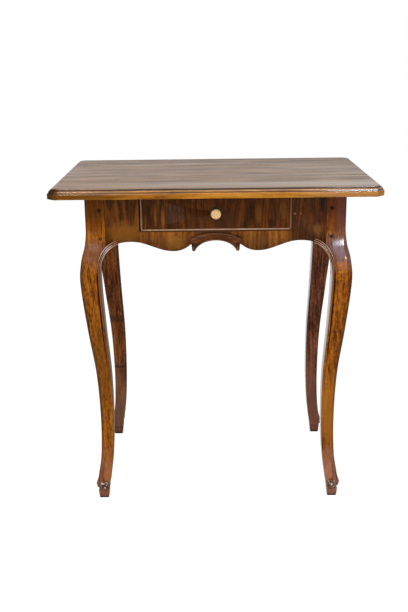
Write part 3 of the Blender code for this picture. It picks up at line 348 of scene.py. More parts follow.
# %% [markdown]
# ## Age
#
# A hundred years of dusting rub the polish off every arris, and leave wax and dirt in the quirks
# of the carving. Both are found by short-range occlusion: rays sent into the wood are stopped near
# an arris, and rays sent outwards are stopped in a hollow. The dark of the hollows is old wax and
# painted shade together, because it falls wherever there is occlusion. Each wood says what colour
# its arrises have: rubbed paler on the top, darkened by painted shade on the legs, and paled by
# painted highlights on the toes and the carving.

# %% Node group: rubbed arrises and dark hollows
ARRIS_REACH = 0.0020
ARRIS_OPENNESS = (0.92, 0.55)
BLOTCH_SCALE = 28.0
WAX_AND_SHADE_COLOUR = (0.012, 0.006, 0.004)
RAYS = 6


def make_age():
    """Another colour on the arrises, in blotches, and old wax with painted shade in the hollows."""
    group, given = new_group("rubbed_waxed_and_shaded", {
        "Color": "Color", "Arris Wear And Painted Light": "Color", "Rubbed": "Float", "Wax And Shade": "Float",
        "Reach": "Float"}, {"Color": "Color"})
    inside = node(group, "ShaderNodeAmbientOcclusion", {"Distance": ARRIS_REACH},
                  samples=RAYS, inside=True, only_local=True)
    arris = map_range(group, inside.outputs["AO"], *ARRIS_OPENNESS)
    where = node(group, "ShaderNodeTexCoord").outputs["Object"]
    blotches = node(group, "ShaderNodeTexNoise", {
        "Vector": where, "Scale": BLOTCH_SCALE, "Detail": 3.0}).outputs["Fac"]
    broken = math_node(group, "MULTIPLY", arris, blotches)
    rubbed = math_node(group, "MULTIPLY", broken, given["Rubbed"], clamp=True)
    body = mix_colours(group, rubbed, given["Color"], given["Arris Wear And Painted Light"])
    # Painted shade: the hollows are darkened by their occlusion, as old wax and shade together.
    outside = node(group, "ShaderNodeAmbientOcclusion", {"Distance": given["Reach"]},
                   samples=RAYS)
    hollow = math_node(group, "SUBTRACT", 1.0, outside.outputs["AO"])
    hollow_darkening = math_node(group, "MULTIPLY", hollow, given["Wax And Shade"], clamp=True)
    body = mix_colours(group, hollow_darkening, body, WAX_AND_SHADE_COLOUR)
    node(group, "NodeGroupOutput", {"Color": body})
    return group


RUBBED_WAXED_AND_SHADED = make_age()
print("group:", RUBBED_WAXED_AND_SHADED.name)

# %% [markdown]
# ## Single marks
#
# An old table has knots, burrs, stains and worn places that no even figure gives. Each is a soft
# oval about a place on the object: the distance from its centre, measured in its own size, with
# noise added so that its edge is ragged. They could be painted on an image, but a mark that is
# placed in space needs no image, stays sharp from close by, and is moved by changing a number.

# %% Node group: a soft local mark
RAGGED_SCALE = 1.7
SPOT_EDGES = (1.5, 0.9)


def make_soft_spot():
    """A ragged oval mask about a place: a knot, a burr, a stain or a worn patch."""
    group, given = new_group("soft_spot", {
        "Vector": "Vector", "Centre": "Vector", "Size": "Vector", "Amount": "Float",
    }, {"Mask": "Float"})
    apart = vector_node(group, "SUBTRACT", given["Vector"], given["Centre"])
    scaled = vector_node(group, "DIVIDE", apart, given["Size"])
    ragged = node(group, "ShaderNodeTexNoise", {
        "Vector": scaled, "Scale": RAGGED_SCALE, "Detail": 3.0}).outputs["Fac"]
    reach = node(group, "ShaderNodeVectorMath", {0: scaled}, operation="LENGTH")
    uneven = math_node(group, "ADD", reach.outputs["Value"], ragged)
    mask = map_range(group, uneven, *SPOT_EDGES, kind="SMOOTHSTEP")
    amount = math_node(group, "MULTIPLY", mask, given["Amount"], clamp=True)
    node(group, "NodeGroupOutput", {"Mask": amount})
    return group


SOFT_SPOT = make_soft_spot()
print("group:", SOFT_SPOT.name)

# %% [markdown]
# ## Finishes
#
# French polish is a thin clear coat over the wood, so each wood material has a coat over a rougher
# body. Its grain direction is set by a turn of the coordinates: the figure runs along x inside the
# group, and the turn lays x along the board. The seed moves the board to another part of the tree.
#
# Polish wears where a table is used and stays thick where it isn't. The top and the legs therefore
# get their coat by the direction that the surface faces, which moves with the piece and not with
# the eye. The same direction makes the flat of the top browner, and the side faces of a leg darker
# as painted shade.

# %% Finish by direction and by place
FLAT_FACE = (0.80, 0.98)
MOULDING_SLOPE = (0.02, 0.10)
WORN_STREAKS, WORN_SHARES = (0.34, 0.62), (0.70, 1.12)
SIDE_FACE, INNER_FACE = (0.30, 0.75), (0.80, 0.97)


def spot_mask(tree, where, centre, size, amount=1.0):
    """The mask of one soft mark."""
    return node(tree, "ShaderNodeGroup", {
        "Vector": where, "Centre": centre, "Size": size, "Amount": amount,
    }, node_tree=SOFT_SPOT).outputs["Mask"]


def facing(tree):
    """The x, y and z of the direction that the surface faces."""
    normal = node(tree, "ShaderNodeNewGeometry").outputs["Normal"]
    return node(tree, "ShaderNodeSeparateXYZ", {0: normal}).outputs


def shaded(tree, mask, body, shade):
    """The body colour, multiplied by a shade where the mask is 1."""
    dark = mix_colours(tree, 1.0, body, shade, "MULTIPLY")
    return mix_colours(tree, mask, body, dark)


def top_finish(tree, figure, coat, shade, moulding_coat, flat_coat):
    """Browner on the flat, a thick coat on the moulding, and a worn one on the flat."""
    upward = facing(tree)["Z"]
    flat = map_range(tree, upward, *FLAT_FACE)
    body = shaded(tree, flat, figure["Color"], shade)
    moulding = map_range(tree, upward, *MOULDING_SLOPE, coat, moulding_coat)
    worn = map_range(tree, figure["Gloss"], *WORN_STREAKS,
                     *(flat_coat * share for share in WORN_SHARES))
    return body, map_range(tree, flat, 0.0, 1.0, moulding, worn)


def leg_finish(tree, body, thickness, inward, shade, inner_coat):
    """Painted shade on the side faces of a leg, and a coat of its own on the inner one."""
    sideways = facing(tree)["X"]
    side = map_range(tree, math_node(tree, "ABSOLUTE", sideways), *SIDE_FACE)
    inner = math_node(tree, "MULTIPLY", sideways, inward)
    thickness = map_range(tree, inner, *INNER_FACE, thickness, inner_coat)
    return shaded(tree, side, body, shade), thickness


print("finish helpers ready")

# %% Wood material
ALONG_X, ALONG_Y, ALONG_Z = (0.0, 0.0, 0.0), (0.0, 0.0, -math.pi / 2), (0.0, math.pi / 2, 0.0)
SEED_STEP = Vector((3.1, 0.37, 0.53))
WARM_SHEEN = (0.95, 0.50, 0.18)
PORE_STRENGTH, PORE_DEPTH = 0.10, 0.0004
SMOOTHER, ROUGHER = 0.06, 0.10


def walnut(name, grain, seed, dark, middle, light, *, rings=0.14, ring_scale=30.0, streaks=2.4,
           patches=1.8, flecks=0.8, streak_scale=(7.0, 200.0, 200.0),
           patch_scale=(9.0, 34.0, 34.0), roughness=0.36, sheen=0.12, coat=0.06,
           coat_roughness=0.12, rubbed=0.4, arris_wear_and_painted_light=(0.35, 0.16, 0.05), wax=0.8,
           reach=0.006, spots=(), flat=None, glossy=(), sides=None):
    """A polished walnut material.

    spots are local marks: centre, size, colour and amount. flat is for the top: the colour that
    its upward face is multiplied by, and the coat on the moulding and on that face. glossy lists
    the places where the polish is thick: centre, size and the coat there. sides is for a leg: which
    way its inner face looks along x, what its side faces are multiplied by, and the inner coat.
    """
    material, tree = new_material(name)
    where = node(tree, "ShaderNodeTexCoord").outputs["Object"]
    turn = node(tree, "ShaderNodeMapping", {
        "Vector": where, "Rotation": grain, "Location": SEED_STEP * seed})
    figure = node(tree, "ShaderNodeGroup", {
        "Vector": turn.outputs[0], "Dark": dark, "Middle": middle, "Light": light,
        "Streak Scale": streak_scale, "Patch Scale": patch_scale, "Ring Scale": ring_scale,
        "Rings": rings, "Streaks": streaks, "Patches": patches, "Flecks": flecks,
    }, node_tree=WALNUT_FIGURE).outputs
    body, thickness = figure["Color"], coat
    if flat:
        body, thickness = top_finish(tree, figure, coat, *flat)
    for centre, size, thick in glossy:
        mask = spot_mask(tree, where, centre, size)
        thickness = map_range(tree, mask, 0.0, 1.0, thickness, thick)
    if sides:
        body, thickness = leg_finish(tree, body, thickness, *sides)
    for centre, size, colour, amount in spots:
        mask = spot_mask(tree, where, centre, size, amount)
        body = mix_colours(tree, mask, body, colour)
    aged = node(tree, "ShaderNodeGroup", {
        "Color": body, "Rubbed": rubbed, "Arris Wear And Painted Light": arris_wear_and_painted_light, "Wax And Shade": wax,
        "Reach": reach}, node_tree=RUBBED_WAXED_AND_SHADED)
    dull = map_range(tree, figure["Gloss"], 0.0, 1.0,
                     roughness - SMOOTHER, roughness + ROUGHER)
    bump = node(tree, "ShaderNodeBump", {
        "Strength": PORE_STRENGTH, "Distance": PORE_DEPTH, "Height": figure["Height"]})
    set_shader(tree, {
        "Base Color": aged.outputs["Color"], "Roughness": dull, "Normal": bump.outputs[0],
        "Specular IOR Level": sheen, "Specular Tint": WARM_SHEEN, "Coat Weight": thickness,
        "Coat Roughness": coat_roughness})
    return material


print("wood material ready")

# %% Marks in groups
def marks(y, rows, deep=0.03):
    """Soft marks on a front face at y, from rows of x, z, width, height, colour and amount."""
    return tuple(((x, y, z), (wide, deep, high), colour, amount)
                 for x, z, wide, high, colour, amount in rows)


def band(z, high, colour, amount):
    """A soft mark that runs right round the table at a height."""
    return (((0.0, 0.0, z), (30.0, 30.0, high), colour, amount),)


print("helpers for marks ready")

# %% [markdown]
# ## Wood of the top
#
# The moulding is golden where hands and dusters keep it clean, and the flat is browner and duller.
# The two quirks of the moulding get lines of painted shade, the left corner is dark, and the
# front of the flat gets a pale painted reflection. One material with masks does it all, because a
# separate strip for each colour would show a seam. The three boards share the colours, and differ
# in seed and in coat.

# %% Wood of the top
EDGE_Y, EDGE_Z = -0.2574, 0.744
CORNER_MARK = (-0.359, -0.251, 0.748)
# Painted shade: two dark lines along the quirks of the moulding.
QUIRK_SHADE_COLOUR = (0.022, 0.007, 0.003)
QUIRK_SHADE_LINES = band(0.7579, 0.0020, QUIRK_SHADE_COLOUR, 0.95) + band(0.7522, 0.0013, QUIRK_SHADE_COLOUR, 0.70)
EDGE_STAINS = (*marks(EDGE_Y, ((0.280, EDGE_Z, 0.120, 0.010, (0.520, 0.250, 0.070), 0.60),)),
               (CORNER_MARK, (0.034, 0.03, 0.05), (0.045, 0.014, 0.004), 0.95),
               *marks(EDGE_Y, ((-0.275, EDGE_Z, 0.120, 0.010, (0.130, 0.046, 0.002), 0.85),)))
# Painted reflection: a pale grey band along the front of the flat.
FRONT_PAINTED_SHEEN = marks(-0.210, ((0.080, 0.760, 0.55, 0.02, (0.34, 0.24, 0.16), 0.60),), deep=0.056)
POLISHED_FRONT = (((0.0, -0.250, 0.760), (2.0, 0.130, 0.004), 0.86),
                  (CORNER_MARK, (0.034, 0.04, 0.05), 0.10))
MOULDING_COAT = 0.95


def top_wood(part, seed, shade, flat_coat, polish=()):
    """Golden on the moulding, browner on the flat, with long quiet streaks."""
    return walnut(f"top_walnut_{part}", ALONG_X, seed, (0.21, 0.068, 0.005),
                  (0.40, 0.150, 0.011), (0.58, 0.255, 0.030), rings=0.3, streaks=2.6, patches=2.2,
                  flecks=0.3, streak_scale=(5.0, 64.0, 64.0), patch_scale=(6.0, 26.0, 26.0),
                  sheen=0.0, coat=0.12, rubbed=0.3, arris_wear_and_painted_light=(0.75, 0.38, 0.10), wax=1.5,
                  flat=(shade, MOULDING_COAT, flat_coat), glossy=polish,
                  spots=FRONT_PAINTED_SHEEN + EDGE_STAINS + QUIRK_SHADE_LINES)


TOP_WOODS = {"front": top_wood("front", 22, (0.52, 0.56, 0.90), 0.52, POLISHED_FRONT),
             "middle": top_wood("middle", 2, (0.52, 0.55, 0.70), 0.50),
             "back": top_wood("back", 3, (0.50, 0.53, 0.70), 0.46)}
print("top woods:", len(TOP_WOODS))

# %% [markdown]
# ## Wood of the legs
#
# Each leg is one piece of walnut with its own colour: darker at the post, where painted shade
# from the top falls, polished at the knee, golden on the calf, and paler near the floor by a
# painted reflection of the floor. Bands of colour go right round a leg, and smaller marks make a
# flame in the figure beside a peg, tiger stripes below the right knee, and the dark wax round the
# pegs. A purple tint on the right knee and post is a painted cold sheen. The back legs stand in
# shade and are darker, and their lowest band is a pale painted reflection of the floor. What the
# legs share is kept in one dictionary, so that each leg only says in what it differs.

# %% Marks of the legs
LEG_X = 0.27
FACE_Y = -POST_Y
PEG_FROM_POST = 0.0319
FLAME_LIGHT, FLAME_DARK = (0.25, 0.080, 0.002), (0.040, 0.011, 0.001)
TIGER = (0.58, 0.21, 0.006)


def round_leg(side, y, z, high, colour, amount, wide=0.06):
    """A mark that goes right round a leg."""
    return (side * LEG_X, y, z), (wide, wide, high), colour, amount


def leg_marks(side, post_painted_shade, knee, calf_z, calf, foot_painted_reflection):
    """Post in painted shade, knee, calf, foot in a painted floor reflection, and block of a front
    leg.
    """
    # Painted shade darkens the post under the top, and a painted floor reflection makes the foot
    # paler.
    return (round_leg(side, -0.19, 0.715, 0.080, post_painted_shade, 0.75),
            round_leg(side, -0.21, 0.612, 0.034, knee, 0.75),
            round_leg(side, -0.20, calf_z, 0.120, calf, 0.55),
            round_leg(side, -0.19, 0.035, 0.100, foot_painted_reflection, 0.60),
            round_leg(side, -0.19, 0.008, 0.016, (0.19, 0.080, 0.050), 0.60))


def peg_rings(side, heights):
    """Old wax round the pegs."""
    x = side * (POST_X - PEG_FROM_POST)
    return marks(FACE_Y, [(x, z, 0.0060, 0.0060, (0.004, 0.002, 0.002), 1.0) for z in heights],
                 deep=0.02)


def knee_polish(side, coat):
    """Thick polish on the knee."""
    return (((side * 0.275, -0.212, 0.608), (0.08, 0.06, 0.056), coat),)


FLAME = marks(FACE_Y, ((-0.2505, 0.672, 0.0030, 0.032, FLAME_LIGHT, 0.50),
                       (-0.2562, 0.661, 0.0022, 0.018, FLAME_LIGHT, 0.50),
                       (-0.2533, 0.668, 0.0018, 0.024, FLAME_DARK, 0.85)))
# Painted reflection: a cold purple tint on the right post.
RIGHT_POST_PAINTED_SHEEN = marks(FACE_Y, ((0.2805, 0.700, 0.0150, 0.085, (0.135, 0.046, 0.042), 0.60),))
TIGER_STRIPES = marks(-0.215, ((0.2785, 0.5630, 0.0080, 0.0040, TIGER, 0.55),
                               (0.2730, 0.5555, 0.0030, 0.0022, TIGER, 0.45),
                               (0.2780, 0.5475, 0.0100, 0.0014, TIGER, 0.65)))
# The lowest, pale band on each back leg is a painted reflection of the floor.
BACK_LEFT_MARKS = (round_leg(-1, 0.19, 0.12, 0.16, (0.20, 0.095, 0.052), 0.7),
                   round_leg(-1, 0.19, 0.345, 0.014, (0.045, 0.015, 0.006), 0.7, wide=0.08),
                   round_leg(-1, 0.19, 0.208, 0.005, (0.040, 0.014, 0.006), 0.8, wide=0.08))
BACK_RIGHT_MARKS = (round_leg(1, 0.19, 0.12, 0.16, (0.19, 0.080, 0.050), 0.7),)
print("leg marks:", len(FLAME + RIGHT_POST_PAINTED_SHEEN + TIGER_STRIPES + BACK_LEFT_MARKS + BACK_RIGHT_MARKS))

# %% Wood of the legs
# The dark arris colour of the legs is painted shade along their arrises.
LEG = {"rings": 0.3, "patches": 1.3, "flecks": 1.6, "streak_scale": (8.0, 330.0, 330.0),
       "sheen": 0.0, "coat": 0.09, "coat_roughness": 0.10, "wax": 2.4, "rubbed": 0.5,
       "arris_wear_and_painted_light": (0.05, 0.016, 0.006)}
BACK_LEG = {**LEG, "patches": 2.6}
# Painted shade: the side faces of the legs are multiplied by this.
SIDE_SHADE = (0.50, 0.45, 0.45)
LEG_WOODS = {
    "leg_front_left": walnut(
        "leg_walnut_front_left", ALONG_Z, 4, (0.080, 0.020, 0.002), (0.27, 0.078, 0.004),
        (0.42, 0.140, 0.008), **LEG, glossy=knee_polish(-1, 0.35), sides=(1.0, SIDE_SHADE, 0.25),
        spots=leg_marks(-1, (0.076, 0.018, 0.001), (0.17, 0.052, 0.014), 0.330,
                        (0.14, 0.048, 0.006), (0.36, 0.13, 0.060)) + FLAME
        + peg_rings(-1, (0.705,))),
    "leg_front_right": walnut(
        "leg_walnut_front_right", ALONG_Z, 5, (0.080, 0.020, 0.003), (0.26, 0.072, 0.004),
        (0.42, 0.130, 0.009), **LEG, glossy=knee_polish(1, 1.0), sides=(-1.0, SIDE_SHADE, 1.0),
        # The right knee is darker wood with a purple tint that is a painted cold sheen.
        spots=leg_marks(1, (0.11, 0.028, 0.010), (0.095, 0.029, 0.034), 0.200,
                        (0.40, 0.145, 0.018), (0.43, 0.19, 0.120)) + RIGHT_POST_PAINTED_SHEEN
        + peg_rings(1, (0.705, 0.641)) + TIGER_STRIPES),
    "leg_back_left": walnut(
        "leg_walnut_back_left", ALONG_Z, 6, (0.040, 0.010, 0.003), (0.125, 0.036, 0.008),
        (0.25, 0.080, 0.016), **BACK_LEG, sides=(1.0, SIDE_SHADE, 0.05), spots=BACK_LEFT_MARKS),
    "leg_back_right": walnut(
        "leg_walnut_back_right", ALONG_Z, 7, (0.055, 0.016, 0.008), (0.155, 0.047, 0.020),
        (0.27, 0.090, 0.040), **BACK_LEG, sides=(-1.0, SIDE_SHADE, 1.0), spots=BACK_RIGHT_MARKS),
}
print("leg woods:", len(LEG_WOODS))

# %% Wood of the knee beads and the toes
PAINTED_GLINT_COLOUR = (0.98, 0.90, 0.84)
# Painted sheen: the knee beads are pale, and paler still near the shoulder; below the knee they
# take the leg's colour.
KNEE_BEAD_PAINTED_SHEEN = marks(-0.205, ((-0.2480, 0.604, 0.030, 0.034, (0.86, 0.68, 0.60), 0.75),
                            (0.2480, 0.604, 0.030, 0.030, (0.80, 0.56, 0.42), 0.45)))
BELOW_KNEE = band(0.505, 0.110, (0.27, 0.082, 0.006), 1.0)
# Painted highlights: white glints on the toe scrolls.
TOE_PAINTED_GLINTS = marks(-0.2048, (
    (-0.2790, 0.0390, 0.0070, 0.0040, PAINTED_GLINT_COLOUR, 0.95), (-0.2675, 0.0385, 0.0034, 0.0070, PAINTED_GLINT_COLOUR, 0.85),
    (-0.2725, 0.0285, 0.0034, 0.0030, PAINTED_GLINT_COLOUR, 0.90), (0.2738, 0.0345, 0.0090, 0.0024, PAINTED_GLINT_COLOUR, 0.75),
    (0.2665, 0.0390, 0.0034, 0.0036, PAINTED_GLINT_COLOUR, 0.75), (0.2765, 0.0275, 0.0080, 0.0020, PAINTED_GLINT_COLOUR, 0.55),
    (0.2815, 0.0400, 0.0030, 0.0034, PAINTED_GLINT_COLOUR, 0.80)))
KNEE_BEAD_WOOD = walnut("knee_bead_rubbed", ALONG_Z, 21, (0.22, 0.090, 0.045), (0.42, 0.20, 0.12),
                        (0.55, 0.30, 0.20), streaks=0.8, patches=1.0, sheen=0.0, coat=0.25,
                        rubbed=0.0, wax=2.6, spots=KNEE_BEAD_PAINTED_SHEEN + BELOW_KNEE)
# The pale arris colour of the toes is a painted highlight on the ridges of the scrolls.
TOE_WOOD = walnut("toe_walnut_painted_glints", ALONG_Z, 23, (0.060, 0.022, 0.012), (0.24, 0.092, 0.048),
                  (0.42, 0.19, 0.110), sheen=0.0, coat=0.35, coat_roughness=0.18, rubbed=0.5,
                  arris_wear_and_painted_light=(0.80, 0.50, 0.34), wax=2.4, reach=0.005, spots=TOE_PAINTED_GLINTS)
print("worn toes:", len(TOE_PAINTED_GLINTS), "marks")

# %% [markdown]
# ## Wood of the aprons, the drawer and the small parts
#
# The aprons and the drawer front are darker than the legs, because the top keeps them in shade and
# nobody dusts them. Their marks are paler patches, dark knots, a line of painted shadow on the rail
# under the drawer's bead, a dark line along the drawer's lower edge and painted shade in the gap
# beside the drawer, laid on the plane of the front faces or just behind it. The beads round the
# drawer are pale: a painted sheen for the light that their round tops catch. The oak inside has
# never been polished at all, and the pegs show their end grain.

# %% Marks of the aprons and the drawer
# Painted shade in the gap between the drawer and the left stile.
GAP_SHADE_COLOUR = (0.004, 0.002, 0.002)
CHIP = (0.360, 0.170, 0.100)
LEFT_STILE_MARKS = marks(FACE_Y, (
    (-0.205, 0.650, 0.0500, 0.034, (0.320, 0.110, 0.010), 0.65),
    (-0.234, 0.722, 0.0130, 0.026, (0.020, 0.006, 0.002), 0.85),
    (-0.213, 0.718, 0.0028, 0.014, (0.016, 0.005, 0.002), 0.8),
), deep=0.02) + marks(-0.188, ((-0.1693, 0.697, 0.0014, 0.060, GAP_SHADE_COLOUR, 0.95),))
RIGHT_STILE_MARKS = marks(FACE_Y, (
    (0.2360, 0.716, 0.0075, 0.032, (0.008, 0.003, 0.003), 0.92),
    (0.2260, 0.656, 0.0140, 0.020, (0.240, 0.090, 0.020), 0.6),
    (0.1755, 0.6933, 0.0035, 0.0030, CHIP, 0.8), (0.1888, 0.6931, 0.0026, 0.0020, CHIP, 0.8),
), deep=0.02)
RAIL_MARKS = marks(FACE_Y, (
    # a line of painted shadow under the drawer's bead
    (0.0, 0.6574, 1.2, 0.0030, (0.008, 0.003, 0.002), 0.92),
    (0.0, 0.6560, 0.070, 0.016, (0.050, 0.015, 0.006), 0.85),
    (-0.088, 0.630, 0.026, 0.018, (0.36, 0.135, 0.018), 0.7),
    (0.100, 0.632, 0.024, 0.018, (0.15, 0.049, 0.009), 0.6),
), deep=0.02)
DRAWER_MARKS = marks(FACE_Y, (
    (0.005, 0.680, 0.075, 0.050, (0.046, 0.014, 0.005), 0.60),
    (0.0, 0.6600, 1.2, 0.0040, (0.030, 0.009, 0.003), 0.60),
    (-0.133, 0.690, 0.0025, 0.030, (0.26, 0.085, 0.010), 0.7),
    (-0.116, 0.685, 0.0055, 0.034, (0.24, 0.080, 0.010), 0.7),
    (0.095, 0.695, 0.0100, 0.030, (0.16, 0.052, 0.008), 0.6),
    (0.125, 0.672, 0.0100, 0.016, (0.010, 0.003, 0.002), 0.85),
    (0.150, 0.700, 0.0100, 0.026, (0.16, 0.056, 0.010), 0.6),
), deep=0.02)
HOOK_MARKS = marks(FACE_Y, [(side * x, *rest) for side in (-1, 1) for x, *rest in (
    (0.0500, 0.6200, 0.0110, 0.0140, (0.018, 0.005, 0.003), 0.85),
    # a painted highlight in the middle of each hook
    (0.0495, 0.6180, 0.0026, 0.0060, (0.240, 0.100, 0.050), 0.80),
    (0.0440, 0.6330, 0.0080, 0.0022, (0.180, 0.070, 0.030), 0.60))], deep=0.02)
# The side beads are darker, which weakens their painted sheen there.
BEAD_SIDES_DARKER = marks(-0.200, ((0.1668, 0.698, 0.0060, 0.120, (0.32, 0.120, 0.060), 0.80),
                            (-0.1648, 0.698, 0.0060, 0.120, (0.36, 0.18, 0.11), 0.60)))
print("apron marks:", len(LEFT_STILE_MARKS + RIGHT_STILE_MARKS + RAIL_MARKS + HOOK_MARKS))

# %% Wood of the aprons and the drawer
SIDE_TONES = (0.035, 0.009, 0.002), (0.085, 0.024, 0.003), (0.17, 0.055, 0.007)
APRON_WOODS = {
    "front_stile_left": walnut("apron_walnut_stile_left", ALONG_Z, 8, (0.030, 0.007, 0.001),
                               (0.115, 0.030, 0.002), (0.23, 0.068, 0.004),
                               spots=LEFT_STILE_MARKS),
    "front_stile_right": walnut("apron_walnut_stile_right", ALONG_Z, 9, (0.022, 0.006, 0.003),
                                (0.058, 0.0145, 0.003), (0.13, 0.038, 0.006),
                                spots=RIGHT_STILE_MARKS),
    "front_rail": walnut("apron_walnut_rail", ALONG_Z, 10, (0.070, 0.019, 0.003),
                         (0.19, 0.058, 0.007), (0.31, 0.112, 0.016), spots=RAIL_MARKS),
    "apron_left": walnut("apron_walnut_left", ALONG_Z, 11, *SIDE_TONES),
    "apron_right": walnut("apron_walnut_right", ALONG_Z, 12, *SIDE_TONES),
    "apron_back": walnut("apron_walnut_back", ALONG_X, 13, *SIDE_TONES),
}
# The paler arris colour of the carving is a painted highlight along its rim.
CARVING_WOOD = walnut("carving_walnut_arch", ALONG_X, 14, (0.026, 0.007, 0.002),
                      (0.072, 0.019, 0.004), (0.14, 0.040, 0.010), wax=2.8, rubbed=0.6,
                      arris_wear_and_painted_light=(0.28, 0.11, 0.05), spots=HOOK_MARKS)
DRAWER_WOOD = walnut("drawer_walnut_front", ALONG_Z, 15, (0.017, 0.004, 0.001),
                     (0.057, 0.014, 0.002), (0.15, 0.044, 0.004), spots=DRAWER_MARKS)
# Painted sheen: the beads are pale for the light that their round tops catch.
BEAD_WOOD = walnut("bead_walnut_polished", ALONG_X, 16, (0.34, 0.17, 0.10), (0.60, 0.35, 0.23),
                   (0.74, 0.50, 0.36), streaks=0.5, patches=0.3, rubbed=0.0, wax=0.3, coat=0.3,
                   spots=BEAD_SIDES_DARKER)
print("apron woods:", len(APRON_WOODS))

# %% Oak inside, and the pegs
INSIDE_WOOD = walnut("inside_oak_planed", ALONG_Y, 17, (0.15, 0.085, 0.045),
                     (0.27, 0.165, 0.085), (0.38, 0.25, 0.14), ring_scale=50.0, streaks=1.2,
                     roughness=0.60, patches=0.8, coat=0.0, rubbed=0.2, wax=0.5)
PEG_WOOD = walnut("peg_dark_end_grain", ALONG_Y, 18, (0.002, 0.001, 0.001),
                  (0.005, 0.003, 0.003), (0.010, 0.006, 0.005), roughness=0.6, sheen=0.0, coat=0.0)
PALE_PEG_WOOD = walnut("peg_pale_end_grain", ALONG_Y, 24, (0.070, 0.034, 0.026),
                       (0.13, 0.066, 0.052), (0.19, 0.10, 0.08), roughness=0.5, sheen=0.0,
                       coat=0.09)
print("woods:", len(bpy.data.materials))

# %% [markdown]
# ## Knob, collar and screw
#
# The knob is boxwood, pale and dense, with fine rings and a duller face. The collar behind it is
# stained black like ebony. Both are the same wood group with other colours. The screw is plain
# steel, and noise gives it the brown spots of old rust.

# %% Knob, collar and screw materials
KNOB_WOOD = walnut("knob_boxwood_turned", ALONG_Y, 19, (0.56, 0.33, 0.12), (0.80, 0.53, 0.21),
                   (0.92, 0.72, 0.40), rings=0.6, ring_scale=160.0, streaks=0.6, patches=0.9,
                   patch_scale=(9.0, 180.0, 180.0), coat=0.3, rubbed=0.0, wax=1.4)
COLLAR_WOOD = walnut("backplate_ebonised_turned", ALONG_Y, 20, (0.008, 0.005, 0.004),
                     (0.014, 0.009, 0.007), (0.03, 0.018, 0.012), roughness=0.30, coat=0.2,
                     rubbed=0.3)
RUST_SCALE = 900.0


def steel(name):
    """Dull screw steel with brown spots of old rust."""
    material, tree = new_material(name)
    where = node(tree, "ShaderNodeTexCoord").outputs["Object"]
    rust = node(tree, "ShaderNodeTexNoise", {"Vector": where, "Scale": RUST_SCALE}).outputs["Fac"]
    body = mix_colours(tree, rust, (0.38, 0.36, 0.33), (0.16, 0.09, 0.06))
    set_shader(tree, {"Base Color": body, "Roughness": rust, "Metallic": 1.0})
    return material


SCREW_STEEL = steel("screw_steel_dull")
print("small parts: knob, collar, screw")

# %% [markdown]
# ## Mesh helpers
#
# Three ways of making a solid cover this table: a loft through sections, for the top and the legs;
# a small profile swept along a line, for every carved bead; and a copy of a CAD board with its
# arrises rounded, for whatever is simply sawn and planed.

# %% Curves and finished pieces
SHARP = math.radians(34.0)
LARGE_FACE = 0.0008
U, V, UP = Vector((1.0, 0.0, 0.0)), Vector((0.0, 1.0, 0.0)), Vector((0.0, 0.0, 1.0))


def spread(low, high, steps):
    """Evenly spaced values from low to high, both included."""
    return [low + (high - low) * k / steps for k in range(steps + 1)]


def round_angles(steps):
    """Evenly spaced angles once round."""
    return spread(0.0, 2 * math.pi, steps)[:-1]


def ease(low, high, value):
    """0 below low, 1 above high, and a smooth rise between them."""
    share = min(1.0, max(0.0, (value - low) / (high - low)))
    return share * share * (3 - 2 * share)


def finished_piece(name, shape, material, body, stands_for):
    """Turn a bmesh into a smooth-shaded piece that rides on a body and stands for CAD nodes."""
    bmesh.ops.recalc_face_normals(shape, faces=shape.faces)
    for face in shape.faces:
        face.smooth = face.calc_area() < LARGE_FACE
    mesh = bpy.data.meshes.new(name)
    shape.to_mesh(mesh)
    shape.free()
    mesh.set_sharp_from_angle(angle=SHARP)
    mesh.materials.append(material)
    piece = add_object(name, mesh)
    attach(piece, body)
    if stands_for:
        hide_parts(*stands_for)
    return piece


print("curves ready")

# %% Loft, sweep and rounded board
BEAD_FOOT, BEAD_BURIED = 0.8, 0.0012
WELD = 0.00002
FLAT_ANGLE, ARRIS_ANGLE = math.radians(1.0), math.radians(38.0)


def loft_into(shape, rings):
    """Add a closed solid through rings of points to a bmesh."""
    loops = [[shape.verts.new(point) for point in ring] for ring in rings]
    count = len(loops[0])
    for lower, upper in zip(loops, loops[1:]):
        for k in range(count):
            after = (k + 1) % count
            shape.faces.new((lower[k], lower[after], upper[after], upper[k]))
    shape.faces.new(list(reversed(loops[0])))
    shape.faces.new(loops[-1])


def sweep_into(shape, line, normals, half_widths, heights):
    """Add a half-round bead along a line on a surface, sunk a little into it."""
    rings = []
    for k, place in enumerate(line):
        ahead = (line[min(k + 1, len(line) - 1)] - line[max(k - 1, 0)]).normalized()
        across = ahead.cross(normals[k]).normalized()
        out = across.cross(ahead).normalized()
        wide, high = across * half_widths[k], out * heights[k]
        ring = [place + wide * math.cos(angle) + high * math.sin(angle)
                for angle in spread(0.0, math.pi, 6)]
        for side in (-1, 1):
            ring.append(place + wide * BEAD_FOOT * side - out * BEAD_BURIED)
        rings.append(ring)
    loft_into(shape, rings)


def copy_of(node_name):
    """A CAD piece as a bmesh, its faces joined at their corners."""
    shape = bmesh.new()
    shape.from_mesh(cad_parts[node_name].data)
    bmesh.ops.remove_doubles(shape, verts=shape.verts, dist=WELD)
    return shape


def rounded_board(node_name, width, material, body):
    """A copy of a CAD board whose arrises are rounded, standing for the board."""
    shape = copy_of(node_name)
    bmesh.ops.dissolve_limit(shape, angle_limit=FLAT_ANGLE, verts=shape.verts, edges=shape.edges)
    sharp = [edge for edge in shape.edges
             if len(edge.link_faces) == 2 and edge.calc_face_angle(0.0) > ARRIS_ANGLE]
    bmesh.ops.bevel(shape, geom=sharp, offset=width, segments=2, affect="EDGES",
                    clamp_overlap=True)
    return finished_piece(f"{node_name}_rounded", shape, material, body, [node_name])


print("mesh helpers ready")

